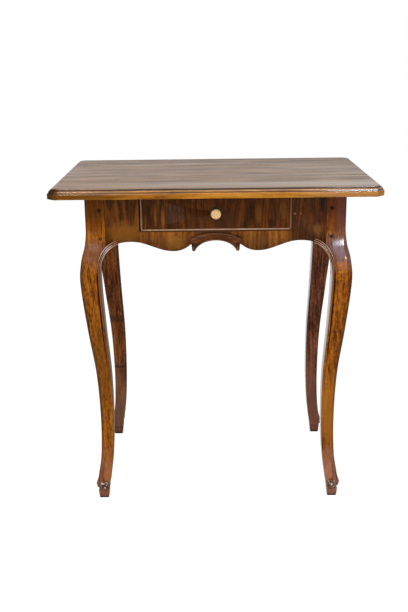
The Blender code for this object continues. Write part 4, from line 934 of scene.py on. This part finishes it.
# %% [markdown]
# ## Table top
#
# The top is three glued boards with one moulding run round them: a small fillet, an ovolo, another
# fillet and a rounded nose above the upright edge. A planing machine would cut that profile in one
# pass, and a loft does the same here: the outline of the top, set in by the profile at each height.
# The boards are then cut apart at their glue lines, so that each can have its own figure.

# %% Profile and outline of the top
TOP_LOW, TOP_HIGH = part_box("top_board_front")[0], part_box("top_board_back")[1]
CORNER_CLIP = 0.0165
LOWER_ARRIS, TOP_ARRIS, ARRIS_BEND = 0.0012, 0.0006, 0.3
NOSE_RADIUS, NOSE_STEPS = 0.0022, 5
LOWER_FILLET, UPPER_FILLET = 0.0017, 0.0018
FILLET_LEAN, STEP = 0.0002, 0.0006
OVOLO_RADIUS, OVOLO_STEPS = 0.0050, 9


def top_profile():
    """Pairs of inset and height, from the underside to the flat of the top."""
    low, top = TOP_LOW.z, TOP_HIGH.z
    ovolo_z = top - UPPER_FILLET - OVOLO_RADIUS
    nose_z = ovolo_z - LOWER_FILLET - NOSE_RADIUS
    profile = [(LOWER_ARRIS, low), (LOWER_ARRIS * ARRIS_BEND, low + LOWER_ARRIS * ARRIS_BEND),
               (0.0, low + LOWER_ARRIS)]
    for angle in spread(0.0, math.pi / 2, NOSE_STEPS):
        profile.append((NOSE_RADIUS * (1 - math.cos(angle)),
                        nose_z + NOSE_RADIUS * math.sin(angle)))
    inset = NOSE_RADIUS + STEP
    profile.append((inset, nose_z + NOSE_RADIUS))
    inset += FILLET_LEAN
    for angle in spread(0.0, math.pi / 2, OVOLO_STEPS):
        profile.append((inset + OVOLO_RADIUS * (1 - math.cos(angle)),
                        ovolo_z + OVOLO_RADIUS * math.sin(angle)))
    inset += OVOLO_RADIUS + STEP
    profile += [(inset, ovolo_z + OVOLO_RADIUS), (inset, top - TOP_ARRIS),
                (inset + TOP_ARRIS * ARRIS_BEND, top - TOP_ARRIS * ARRIS_BEND),
                (inset + TOP_ARRIS, top)]
    return profile


def top_outline(inset, height):
    """Outline of the top with clipped corners, set in by an amount, at a height."""
    half_x, half_y = TOP_HIGH.x - inset, TOP_HIGH.y - inset
    clip = CORNER_CLIP - inset * (2 - math.sqrt(2))
    corners = ((half_x - clip, -half_y), (half_x, clip - half_y), (half_x, half_y - clip),
               (half_x - clip, half_y), (clip - half_x, half_y), (-half_x, half_y - clip),
               (-half_x, clip - half_y), (clip - half_x, -half_y))
    return [Vector((x, y, height)) for x, y in corners]


print("moulding:", len(top_profile()), "steps")

# %% Boards of the top
GLUE_LINES = tuple(corner.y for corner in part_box("top_board_middle"))
GLUE_GAP = 0.00006
PAST_EDGE = 1.0
BOARD_ENDS = (TOP_LOW.y - PAST_EDGE, *GLUE_LINES, TOP_HIGH.y + PAST_EDGE)


def make_top_board(name, near, far, material):
    """One board of the moulded top between two glue lines."""
    shape = bmesh.new()
    loft_into(shape, [top_outline(inset, height) for inset, height in top_profile()])
    for y, side in ((near, -1.0), (far, 1.0)):
        if abs(y) < TOP_HIGH.y:
            everything = shape.verts[:] + shape.edges[:] + shape.faces[:]
            cut = bmesh.ops.bisect_plane(shape, geom=everything, plane_co=(0.0, y, 0.0),
                                         plane_no=(0.0, side, 0.0), clear_outer=True)
            rim = [item for item in cut["geom_cut"] if isinstance(item, bmesh.types.BMEdge)]
            bmesh.ops.edgeloop_fill(shape, edges=rim)
    return finished_piece(f"{name}_moulded", shape, material, "table", [name])


for index, (part, material) in enumerate(TOP_WOODS.items()):
    make_top_board(f"top_board_{part}", BOARD_ENDS[index] + GLUE_GAP,
                   BOARD_ENDS[index + 1] - GLUE_GAP, material)
print("top: glue lines at", [round(y, 3) for y in GLUE_LINES])

# %% [markdown]
# ## Cabriole legs
#
# A cabriole leg is sawn from a square block along one template, used on two faces, and then shaped
# with spokeshave and rasp. The template is a curve through a few heights: how far the two show
# faces stand from the post, and how wide the leg is there. Around the knee the inner edge follows
# the arch of the apron, so that leg and apron read as one line. The arch is a superellipse, which
# is fuller than a circle, like an arch drawn by eye.

# %% Leg template
POST_SIDE = 0.0439
POST_STRAIGHT_Z = 0.660
ANKLE_Z, KNEE_Z, TOE_TOP_Z = 0.195, 0.545, 0.045
CALF_RUN = (KNEE_Z - ANKLE_Z) / 3
TEMPLATE = (
    # height, set in, side of the square, width off the outer corner
    (TOE_TOP_Z, 0.0016, 0.0288, 0.0085),
    (0.105, 0.0089, 0.0291, 0.0085),
    (ANKLE_Z, 0.0117, 0.0307, 0.0085),
    (ANKLE_Z + CALF_RUN, 0.0071, 0.0345, 0.0100),
    (ANKLE_Z + CALF_RUN * 2, -0.0068, 0.0410, 0.0115),
    (KNEE_Z, -0.0172, 0.0463, 0.0125),
    (0.593, -0.0125, 0.0440, 0.0101),
    (0.623, -0.0045, 0.0440, 0.0070),
    (POST_STRAIGHT_Z, 0.0, POST_SIDE, 0.0030),
)
SET_IN, SIDE, CORNER = 1, 2, 3


def template(column, height):
    """One column of the template at a height: a smooth curve through its knots, flat at the end."""
    last = len(TEMPLATE) - 1
    if height >= TEMPLATE[last][0]:
        return TEMPLATE[last][column]
    k = max(i for i in range(last) if TEMPLATE[i][0] <= height or i == 0)
    slopes = []
    for i in (k, k + 1):
        below, above = TEMPLATE[max(i - 1, 0)], TEMPLATE[min(i + 1, last)]
        rise = above[column] - below[column]
        slopes.append(0.0 if i == last else rise / (above[0] - below[0]))
    run = TEMPLATE[k + 1][0] - TEMPLATE[k][0]
    t = (height - TEMPLATE[k][0]) / run
    start = TEMPLATE[k][column] * (2 * t ** 3 - 3 * t ** 2 + 1)
    start += run * slopes[0] * (t ** 3 - 2 * t ** 2 + t)
    end = TEMPLATE[k + 1][column] * (3 * t ** 2 - 2 * t ** 3)
    end += run * slopes[1] * (t ** 3 - t ** 2)
    return start + end


print("template:", len(TEMPLATE), "heights")

# %% Knee arch
CREST_FROM_POST = 0.0573
ARCH_FOOT_Z = 0.562
ARCH_RISE = 0.0715
ARCH_FULLNESS = 2.4
CREST_TO_INNER = CREST_FROM_POST + POST_SIDE
ARCH_HALF = CREST_TO_INNER - template(SET_IN, ARCH_FOOT_Z) - template(SIDE, ARCH_FOOT_Z)


def arch_height(run):
    """Height of the knee arch at a distance from the crest towards the leg."""
    share = max(0.0, 1.0 - (run / ARCH_HALF) ** ARCH_FULLNESS)
    return ARCH_FOOT_Z + ARCH_RISE * share ** (1 / ARCH_FULLNESS)


def arch_run(height):
    """Distance from the crest to the knee arch at a height."""
    share = max(0.0, 1.0 - ((height - ARCH_FOOT_Z) / ARCH_RISE) ** ARCH_FULLNESS)
    return ARCH_HALF * share ** (1 / ARCH_FULLNESS)


SHOULDER_Z = arch_height(CREST_FROM_POST)


def inner_face(height):
    """Where the leg's inner faces lie, from the post's outer faces."""
    if height <= ARCH_FOOT_Z:
        return template(SET_IN, height) + template(SIDE, height)
    if height >= SHOULDER_Z:
        return POST_SIDE
    return POST_SIDE - (arch_run(height) - CREST_FROM_POST)


def show_face(height):
    """Depth of the show faces at their inner edges: flush with the aprons above the knee arch."""
    if height >= POST_STRAIGHT_Z:
        return 0.0
    return template(SET_IN, height) * (1 - ease(ARCH_FOOT_Z, SHOULDER_Z, height))


print(f"shoulder of the knee arch at {SHOULDER_Z:.4f}")

# %% [markdown]
# ### Section of a leg
#
# Cut across, a leg is a square whose outer corner is rounded off with the spokeshave. Each show
# face rises to a low ridge and falls away to its inner edge, and a quirk is scratched along that
# fall. It could be carved with the sculpting brushes, but sections from one function keep the four
# legs alike. Each has the same number of points, so that a loft can join them from floor to top.

# %% Section of a leg
CORNER_FULLNESS, CORNER_STEPS = 0.22, 6
RIDGE_FROM_EDGE, RIDGE_FULLNESS = 0.0112, 0.90
GROOVE_FROM_EDGE, GROOVE_DEPTH = 0.0055, 0.0018
GROOVE_STARTS, GROOVE_ENDS = (0.26, 0.42), (0.562, 0.585)
INNER_ROUND, ROUND_STEPS = 0.0014, 3
SHOW_SHARES = (0.12, 0.5, 0.88)
FALL = (RIDGE_FROM_EDGE, 0.0092, 0.0074, GROOVE_FROM_EDGE, 0.0040, 0.0030, 0.0022)


def quarter(centre, start, end):
    """Points of a rounded corner from start to end about a centre."""
    return [centre + (start - centre) * math.cos(angle) + (end - centre) * math.sin(angle)
            for angle in spread(0.0, math.pi / 2, ROUND_STEPS)]


def groove_depth(height):
    """A quirk beside the inner edge, cut from the knee down and dying away on the calf."""
    return GROOVE_DEPTH * ease(*GROOVE_STARTS, height) * (1 - ease(*GROOVE_ENDS, height))


def leg_section(outer, inner, face, corner, height):
    """Section of the leg, u and v inward from the post's outer faces, as points (u, v, height)."""
    first, last = Vector((outer, outer + corner)), Vector((outer + corner, outer))
    control = Vector((outer + corner * CORNER_FULLNESS, outer + corner * CORNER_FULLNESS))
    points = [first * (1 - t) ** 2 + control * 2 * t * (1 - t) + last * t ** 2
              for t in spread(0.0, 1.0, CORNER_STEPS)]
    back = inner - INNER_ROUND
    edge = Vector((back, face))
    ridge = Vector((inner - RIDGE_FROM_EDGE, face + (outer - face) * RIDGE_FULLNESS))
    show = [last.lerp(ridge, share) for share in SHOW_SHARES]
    for gap in FALL:
        fall = (edge.y - ridge.y) * ease(ridge.x, edge.x, inner - gap)
        sunk = groove_depth(height) if gap == GROOVE_FROM_EDGE else 0.0
        show.append(Vector((inner - gap, ridge.y + fall + sunk)))
    points += show
    near = face + INNER_ROUND
    points += quarter(Vector((back, near)), edge, Vector((inner, near)))
    points += quarter(Vector((back, back)), Vector((inner, back)), Vector((back, inner)))
    points += quarter(Vector((near, back)), Vector((near, inner)), Vector((face, back)))
    points += [Vector((point.y, point.x)) for point in reversed(show)]
    return [Vector((point.x, point.y, height)) for point in points]


print("points in a section:", len(leg_section(0.0, POST_SIDE, 0.0, 0.0030, POST_STRAIGHT_Z)))

# %% Sections up a leg
BLOCK_TOP_Z, NECK_Z = 0.020, 0.0215
BLOCK_CENTRE, BLOCK_CORNER = 0.0134, 0.0020
BLOCK_SIDES = (0.0217, 0.0256)
BLOCK_ARRIS, BLOCK_ARRIS_Z = 0.0012, 0.0008
TOE_LOW_Z, TOE_CURVE_Z, TOE_SET_IN = 0.026, 0.03, 0.0008
TOE_SIDE, TOE_SWELL = 0.0262, 0.0026
LEG_TOP_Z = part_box("leg_front_left")[1].z


def leg_heights():
    """Heights of the leg's sections, closer together where the template bends."""
    heights = spread(TOE_LOW_Z, TOE_TOP_Z, 4) + spread(TOE_TOP_Z, ANKLE_Z, 14)[1:]
    heights += spread(ANKLE_Z, KNEE_Z, 22)[1:] + [ARCH_FOOT_Z - 0.008, ARCH_FOOT_Z]
    heights += [ARCH_FOOT_Z + (SHOULDER_Z - ARCH_FOOT_Z) * math.sin(t * math.pi / 2)
                for t in spread(0.0, 1.0, 12)[1:]]
    return heights + spread(SHOULDER_Z, POST_STRAIGHT_Z, 8)[1:] + [0.69, LEG_TOP_Z]


def leg_faces(height):
    """Outer, inner and show face of the leg at a height: a tapered toe below, then the template."""
    outer = template(SET_IN, height) if height > TOE_CURVE_Z else TOE_SET_IN
    if height < TOE_TOP_Z:
        return outer, outer + TOE_SIDE + TOE_SWELL * ease(NECK_Z, TOE_TOP_Z, height), outer
    return outer, inner_face(height), show_face(height)


def leg_rings():
    """Sections of the leg from the floor to the top of the post."""
    rings = []
    narrow, wide = BLOCK_SIDES
    for side, height in ((narrow - BLOCK_ARRIS, 0.0), (narrow, BLOCK_ARRIS_Z),
                         (wide, BLOCK_TOP_Z - BLOCK_ARRIS_Z), (wide - BLOCK_ARRIS, BLOCK_TOP_Z)):
        low = BLOCK_CENTRE - side / 2
        rings.append(leg_section(low, low + side, low, BLOCK_CORNER, height))
    for height in [NECK_Z] + leg_heights():
        corner = template(CORNER, max(height, TOE_TOP_Z))
        rings.append(leg_section(*leg_faces(height), corner, height))
    return rings


print("sections in a leg:", len(leg_rings()))

# %% [markdown]
# ### The scroll at the toe
#
# The leg ends in a small scroll on each show face, standing on a square block. A carver sinks the
# spiral with a gouge, leaving a ridge that winds in to a round eye. Here the scroll is a disc whose
# face is a height field in polar coordinates: one wave of the profile for each turn of the spiral.

# %% Scroll
SCROLL_RADIUS = 0.0105
TOE_SCROLL = (SCROLL_RADIUS, 0.0027, 0.0052, 0.0110, 0.0034)
EYE_SHARE = 0.0026 / SCROLL_RADIUS
SCROLL_ARRIS = 0.0012
SCROLL_RIM = (0.86, 0.93)
BUTTON, DOME_FULLNESS = 0.3, 2.2
SCROLL_SIDES, SCROLL_STEPS = 40, 12


def scroll_height(reach, angle, radius, depth, turn, dome):
    """Height of a scroll's face at a distance from the middle of its eye, and at an angle."""
    eye = radius * EYE_SHARE
    wave = 0.5 + 0.5 * math.cos(2 * math.pi * reach / turn - angle)
    sunk = depth * (1 - wave) * ease(eye, eye * 1.5, reach)
    sunk *= 1 - ease(radius * SCROLL_RIM[0], radius * SCROLL_RIM[1], reach)
    fall = SCROLL_ARRIS * ease(radius - SCROLL_ARRIS, radius, reach) ** 2
    button = depth * BUTTON * (1 - min(1.0, reach / eye) ** 2)
    return button - dome * (reach / radius) ** DOME_FULLNESS - max(sunk, fall)


def scroll_into(shape, centre, across, up, out, sizes):
    """Add a domed disc with a spiral in its face; sizes are radius, depth, turn, root and dome."""
    radius, depth, turn, root, dome = sizes
    rings = []
    for reach in spread(0.0, radius, SCROLL_STEPS):
        ring = []
        for angle in round_angles(SCROLL_SIDES):
            height = scroll_height(reach, angle, radius, depth, turn, dome)
            ring.append(centre + (across * math.cos(angle) + up * math.sin(angle)) * reach
                        + out * height)
        rings.append(ring)
    middle = shape.verts.new(rings[0][0])
    loops = [[shape.verts.new(point) for point in ring] for ring in rings[1:]]
    loops.append([shape.verts.new(point - out * root) for point in rings[-1]])
    for index in range(SCROLL_SIDES):
        after = (index + 1) % SCROLL_SIDES
        shape.faces.new((middle, loops[0][index], loops[0][after]))
        for inner, outer in zip(loops, loops[1:]):
            shape.faces.new((inner[index], outer[index], outer[after], inner[after]))
    shape.faces.new(loops[-1])


print("scroll radius", SCROLL_RADIUS)

# %% [markdown]
# ### Peg holes
#
# Four pegs lock the tenons of the aprons in each post. Their holes are bored before the leg is
# finished. A hole drawn into the loft would bend its sections, so the leg gets them by a Boolean
# cut instead, with the rods that a bit would take out.

# %% Peg holes
PEG_FROM_INNER, PEG_HOLE = 0.012, 0.0034
PEG_HEIGHTS = (UNDERSIDE - 0.0335, UNDERSIDE - 0.0975)
BORE = (-0.012, 0.004)


def peg_holes():
    """Short rods where the four pegs of a leg are driven, to be cut out of it."""
    cutter = bmesh.new()
    for peg_z in PEG_HEIGHTS:
        for flipped in (False, True):
            rings = []
            for deep in BORE:
                ring = []
                for angle in round_angles(16):
                    along = POST_SIDE - PEG_FROM_INNER + PEG_HOLE * math.cos(angle)
                    u, v = (deep, along) if flipped else (along, deep)
                    ring.append(Vector((u, v, peg_z + PEG_HOLE * math.sin(angle))))
                rings.append(ring)
            loft_into(cutter, rings)
    return cutter


def cut_from(shape, cutter):
    """Take one bmesh out of another with a Boolean modifier, and give the result as a bmesh."""
    made = []
    for part in (shape, cutter):
        bmesh.ops.recalc_face_normals(part, faces=part.faces)
        mesh = bpy.data.meshes.new("part")
        part.to_mesh(mesh)
        part.free()
        made.append(add_object("part", mesh))
    cut = made[0].modifiers.new("cut", "BOOLEAN")
    cut.operation, cut.solver, cut.object = "DIFFERENCE", "EXACT", made[1]
    result = bmesh.new()
    result.from_mesh(made[0].evaluated_get(bpy.context.evaluated_depsgraph_get()).to_mesh())
    for part in made:
        bpy.data.objects.remove(part)
    return result


print("peg holes at", [round(z, 4) for z in PEG_HEIGHTS])

# %% [markdown]
# ### The four legs
#
# One leg is made in the corner of its own section and then moved to each corner of the table. From
# each scroll a thin stem climbs the ankle and dies away: a half-round bead that leans inward while
# it gets narrower and lower. The scrolls are pieces of their own, because their material has
# painted highlights: pale glints and pale ridges.

# %% Legs
SCROLL_U, SCROLL_Z = 0.0154, BLOCK_TOP_Z + 0.0020 + SCROLL_RADIUS
SCROLL_PROUD = 0.0053
STEM_RISE, STEM_STEPS = 0.062, 14
STEM_FROM_CORNER, STEM_LEAN, STEM_DRIFT = 0.0105, 0.0055, 0.004
STEM_PROUD = SCROLL_PROUD * 0.55 * 0.6
STEM_HALF, STEM_TAPER = 0.0017, 0.7
STEM_HIGH, STEM_LOW = 0.0014, 0.0001


def move_to_corner(shape, side_x, side_y):
    """From the section's own corner, u and v inward, to a corner of the table."""
    turn = Matrix.Diagonal((-side_x, -side_y, 1.0, 1.0))
    bmesh.ops.transform(shape, matrix=turn, verts=shape.verts)
    bmesh.ops.translate(shape, vec=(side_x * POST_X, side_y * POST_Y, 0.0), verts=shape.verts)


def make_toe(name, side_x, side_y):
    """The two scrolls of a toe."""
    shape = bmesh.new()
    for along, deep in ((U, V), (V, U)):
        centre = along * SCROLL_U - deep * SCROLL_PROUD + UP * SCROLL_Z
        scroll_into(shape, centre, along, UP, -deep, TOE_SCROLL)
    move_to_corner(shape, side_x, side_y)
    return finished_piece(name, shape, TOE_WOOD, "table", [])


def stem_into(shape, along, deep):
    """Add the stem that climbs from a scroll and dies away on the ankle."""
    line, halves, heights = [], [], []
    for t in spread(0.0, 1.0, STEM_STEPS):
        height = SCROLL_Z + SCROLL_RADIUS * 0.7 + t * STEM_RISE
        outer = template(SET_IN, max(height, TOE_TOP_Z))
        reach = outer + STEM_FROM_CORNER - STEM_LEAN * ease(0.0, 0.3, t) + STEM_DRIFT * t
        proud = STEM_PROUD * (1 - ease(0.0, 0.28, t))
        line.append(along * reach + deep * (outer - proud) + UP * height)
        halves.append(STEM_HALF * (1 - STEM_TAPER * t))
        heights.append(STEM_HIGH * (1 - ease(0.3, 1.0, t)) + STEM_LOW)
    sweep_into(shape, line, [-deep] * len(line), halves, heights)


def make_leg(name, side_x, side_y, material):
    """A leg with the stems of its scrolls and the holes of its four pegs."""
    shape = bmesh.new()
    loft_into(shape, leg_rings())
    shape = cut_from(shape, peg_holes())
    for along, deep in ((U, V), (V, U)):
        stem_into(shape, along, deep)
    move_to_corner(shape, side_x, side_y)
    return finished_piece(f"{name}_carved", shape, material, "table", [name])


for end, side_y in (("front", -1), ("back", 1)):
    for side, side_x in (("left", -1), ("right", 1)):
        corner = f"{end}_{side}"
        leg = make_leg(f"leg_{corner}", side_x, side_y, LEG_WOODS[f"leg_{corner}"])
        make_toe(f"toe_scroll_{corner}", side_x, side_y)
print("legs:", len(leg.data.polygons), "faces each")

# %% [markdown]
# ### Knee beads
#
# Three strands run along the knee arch, from the apron over the shoulder of the leg and down its
# inner edge: a bead on the arris itself, the main bead beside it, and a lighter ridge beyond that.
# The outer two die away on the knee, the main one on the calf. They tie apron and leg into one
# curve. Each is a half-round section swept along the arch, laid on the faces that the template
# gives, and tilted as they tilt.

# %% Line of the knee beads
CREST_X, SIDE_CREST_Y = 0.188, 0.0983
BEAD_START = 0.028
BEAD_FADE, RIDGE_FADE = (0.500, 0.435), (0.590, 0.564)
# half width, height, and the gap from the arch's edge at the start and at the end
MAIN_BEAD = (0.0014, 0.0013, 0.0028, 0.0020)
SIDE_RIDGE = (0.0012, 0.0010, 0.0072, 0.0050)
EDGE_BEAD = (0.0013, 0.0011, -0.0009, -0.0004)


def edge_line(lowest):
    """The arch's edge as (run from the crest, height), from the apron down to a given height."""
    points = []
    for angle in spread(0.0, math.pi / 2, 34):
        run = ARCH_HALF * math.sin(angle) ** (2 / ARCH_FULLNESS)
        if run > BEAD_START:
            points.append((run, ARCH_FOOT_Z + ARCH_RISE * math.cos(angle) ** (2 / ARCH_FULLNESS)))
    for height in spread(ARCH_FOOT_Z, lowest, 16)[1:]:
        points.append((CREST_TO_INNER - inner_face(height), height))
    return points


def depth_at(run, height):
    """Depth of the show face at a place, from the plane of the apron."""
    if run <= CREST_FROM_POST:
        return 0.0
    face, inner = show_face(height), inner_face(height)
    crown = face + (template(SET_IN, height) - face) * RIDGE_FULLNESS
    return crown + (face - crown) * ease(inner - RIDGE_FROM_EDGE, inner - INNER_ROUND,
                                         CREST_TO_INNER - run)


print("edge line:", len(edge_line(BEAD_FADE[1])), "points")

# %% Knee beads
FRONT, BACK, LEFT, RIGHT = -V, V, -U, U
PROBE = 0.001
THIN_END, FLAT_END = 0.35, 0.00005


def bead_along_arch(shape, settings, fade, crest, plane, along, out):
    """Sweep one bead; along points from the crest to the leg, out away from the apron."""
    half, high, start_gap, end_gap = settings
    edge = edge_line(fade[1])
    line, normals, halves, heights = [], [], [], []
    for k, (run, height) in enumerate(edge):
        before, after = edge[max(k - 1, 0)], edge[min(k + 1, len(edge) - 1)]
        slope = Vector((after[0] - before[0], after[1] - before[1])).normalized()
        share = k / (len(edge) - 1)
        gap = start_gap + (end_gap - start_gap) * share
        x, z = Vector((run, height)) + Vector((-slope.y, slope.x)) * gap
        line.append(plane + along * (crest + x) + UP * z - out * depth_at(x, z))
        tilt = depth_at(x + PROBE, z) - depth_at(x - PROBE, z)
        lean = depth_at(x, z + PROBE) - depth_at(x, z - PROBE)
        normals.append((out + (along * tilt + UP * lean) / (2 * PROBE)).normalized())
        faded = ease(0.0, 1.0, (fade[0] - height) / (fade[0] - fade[1]))
        swell = ease(-0.01, 0.16, share) * (1 - faded)
        halves.append(half * (THIN_END + (1 - THIN_END) * swell))
        heights.append(max(FLAT_END, high * swell))
    sweep_into(shape, line, normals, halves, heights)


def make_knee_bead(name, crest, plane, along, out):
    """The main bead of one knee, the ridge beyond it and the bead on the arris."""
    shape = bmesh.new()
    for settings, fade in ((MAIN_BEAD, BEAD_FADE), (SIDE_RIDGE, RIDGE_FADE),
                           (EDGE_BEAD, RIDGE_FADE)):
        bead_along_arch(shape, settings, fade, crest, plane, along, out)
    return finished_piece(name, shape, KNEE_BEAD_WOOD, "table", [])


for side, along in (("left", LEFT), ("right", RIGHT)):
    make_knee_bead(f"knee_bead_front_{side}", CREST_X, FRONT * POST_Y, along, FRONT)
    for end, ahead in (("front", FRONT), ("back", BACK)):
        make_knee_bead(f"knee_bead_{side}_{end}", SIDE_CREST_Y, along * POST_X, ahead, along)
print("knee beads: 6 pieces of 3 strands")

# %% [markdown]
# ## Boards with their arrises taken off
#
# A planed board cuts the hand until its arrises are taken off with a pass of the plane. The CAD
# boards are sharp, so each visible board is copied and its edges are bevelled by about half a
# millimetre: enough to catch a thin line of light. The hidden oak inside is treated in the same
# way. The pegs stay as they are, and one of them has lost its dark polish.

# %% Rounded boards
SOFT_EDGE, INSIDE_EDGE, BEAD_EDGE = 0.0006, 0.0004, 0.0003
DRAWER_BOX = ("drawer_side_left", "drawer_side_right", "drawer_back", "drawer_bottom")

for name, material in APRON_WOODS.items():
    rounded_board(name, SOFT_EDGE, material, "table")
rounded_board("drawer_front", INSIDE_EDGE, DRAWER_WOOD, "drawer")

for name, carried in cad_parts.items():
    slots = [slot.material.name.split(".")[0] for slot in carried.material_slots if slot.material]
    if "inside_oak" in slots:
        body = "drawer" if name in DRAWER_BOX else "table"
        rounded_board(name, INSIDE_EDGE, INSIDE_WOOD, body)
    elif "peg_dark" in slots:
        pale = name == "peg_front_left_lower"
        carried.data.materials[0] = PALE_PEG_WOOD if pale else PEG_WOOD
for part in ("top", "bottom", "left", "right"):
    rounded_board(f"drawer_bead_{part}", BEAD_EDGE, BEAD_WOOD, "drawer")
print("boards rounded")

# %% [markdown]
# ## Carving under the drawer
#
# A small arch of two opposed scrolls is glued to the middle of the rail. Its lower edge has a
# raised rim that follows the arch into the hooks, and the band above it ends in two eyes. The rim
# is swept, and the eyes are the same scroll as at the toes, cut smaller.

# %% Carving
CARVING_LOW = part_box("apron_carving")[0]
ARCH_SPRING_Z = UNDERSIDE - 0.1339
ARCH_HALF_SPAN, ARCH_UNDER_RISE = 0.0478, 0.0312
RIM_OFFSET, RIM_FOOT = 0.0019, 0.004
BAND_HALF_SPAN, BAND_RISE = 0.082, 0.0484
LINE_OFFSET, LINE_START = 0.0026, math.radians(54)
RIM_BEAD, LINE_BEAD = (0.0015, 0.0011), (0.0009, 0.0006)
EYES = (
    # x, how far proud, z, and the scroll's radius, depth, turn, root and dome
    (0.0520, 0.0006, 0.6362, (0.0048, 0.0009, 0.0022, 0.003, 0.0006)),
    (0.0490, 0.0004, CARVING_LOW.z + 0.0042, (0.0032, 0.0007, 0.0018, 0.002, 0.0004)),
)


def line_into(shape, half_span, rise, start, steps, half, high):
    """Sweep a thin bead along an arch on the carving's face, thinner towards both ends."""
    points = [Vector((half_span * math.cos(angle), CARVING_LOW.y,
                      ARCH_SPRING_Z + rise * math.sin(angle)))
              for angle in spread(math.pi - start, start, steps)]
    swells = [min(1.0, 0.35 + 4 * min(k, steps - k) / steps) for k in range(steps + 1)]
    sweep_into(shape, points, [FRONT] * len(points), [half * swell for swell in swells],
               [high * swell for swell in swells])


def make_carving():
    """The carved arch with its rim, its upper line and its eyes."""
    shape = copy_of("apron_carving")
    rise = ARCH_UNDER_RISE + RIM_OFFSET
    start = math.asin((CARVING_LOW.z + RIM_FOOT - ARCH_SPRING_Z) / rise)
    line_into(shape, ARCH_HALF_SPAN + RIM_OFFSET, rise, start, 48, *RIM_BEAD)
    line_into(shape, BAND_HALF_SPAN, BAND_RISE - LINE_OFFSET, LINE_START, 30, *LINE_BEAD)
    for side in (-1.0, 1.0):
        for x, proud, z, sizes in EYES:
            centre = Vector((side * x, CARVING_LOW.y - proud, z))
            scroll_into(shape, centre, U * side, UP, FRONT, sizes)
    return finished_piece("apron_carving_cut", shape, CARVING_WOOD, "table", ["apron_carving"])


carving = make_carving()
print("carving:", len(carving.data.polygons), "faces")

# %% [markdown]
# ## Knob
#
# The knob is turned in a pale dense wood: a narrow neck that flares at the foot, a round belly and
# a face that is slightly hollow in the middle, where the lathe's centre was. It sits on a turned
# collar, stained black. A turned piece is one profile carried round an axis.

# %% Knob and collar
KNOB_RADIUS, NECK_RADIUS = 0.0112, 0.0048
KNOB_PROFILE = (
    # radius, distance out from the collar
    (NECK_RADIUS * 1.50, 0.0000), (NECK_RADIUS * 1.22, 0.0018), (NECK_RADIUS * 1.04, 0.0042),
    (NECK_RADIUS * 1.00, 0.0066), (KNOB_RADIUS * 0.55, 0.0090), (KNOB_RADIUS * 0.80, 0.0104),
    (KNOB_RADIUS * 0.95, 0.0121), (KNOB_RADIUS * 1.00, 0.0140), (KNOB_RADIUS * 0.97, 0.0159),
    (KNOB_RADIUS * 0.86, 0.0174), (KNOB_RADIUS * 0.68, 0.0182), (KNOB_RADIUS * 0.50, 0.0184),
    (KNOB_RADIUS * 0.36, 0.0182), (KNOB_RADIUS * 0.30, 0.0176), (KNOB_RADIUS * 0.24, 0.0176),
    (KNOB_RADIUS * 0.18, 0.0178), (0.0, 0.0179),
)
COLLAR_PROFILE = ((0.0, 0.0), (0.0135, 0.0), (0.0135, 0.0009), (0.0130, 0.0014), (0.0118, 0.0018),
                  (0.0105, 0.0020), (0.0, 0.0020))
SMALLEST_RADIUS = 0.00002


def make_turned(name, profile, middle, material):
    """Carry a profile round the axis that comes out of the drawer front."""
    shape = bmesh.new()
    rings = []
    for radius, out in profile:
        reach = max(radius, SMALLEST_RADIUS)
        rings.append([middle + Vector((reach * math.cos(angle), -out, reach * math.sin(angle)))
                      for angle in round_angles(48)])
    loft_into(shape, rings)
    return finished_piece(f"{name}_turned", shape, material, "drawer", [name])


collar_low, collar_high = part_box("knob_backplate")
knob_axis = (collar_low + collar_high) / 2
knob_axis.y = collar_high.y
make_turned("knob_backplate", COLLAR_PROFILE, knob_axis, COLLAR_WOOD)
knob_axis.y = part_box("knob")[1].y
make_turned("knob", KNOB_PROFILE, knob_axis, KNOB_WOOD)
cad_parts["knob_screw"].data.materials[0] = SCREW_STEEL
print("knob on its collar at", tuple(round(value, 4) for value in knob_axis))
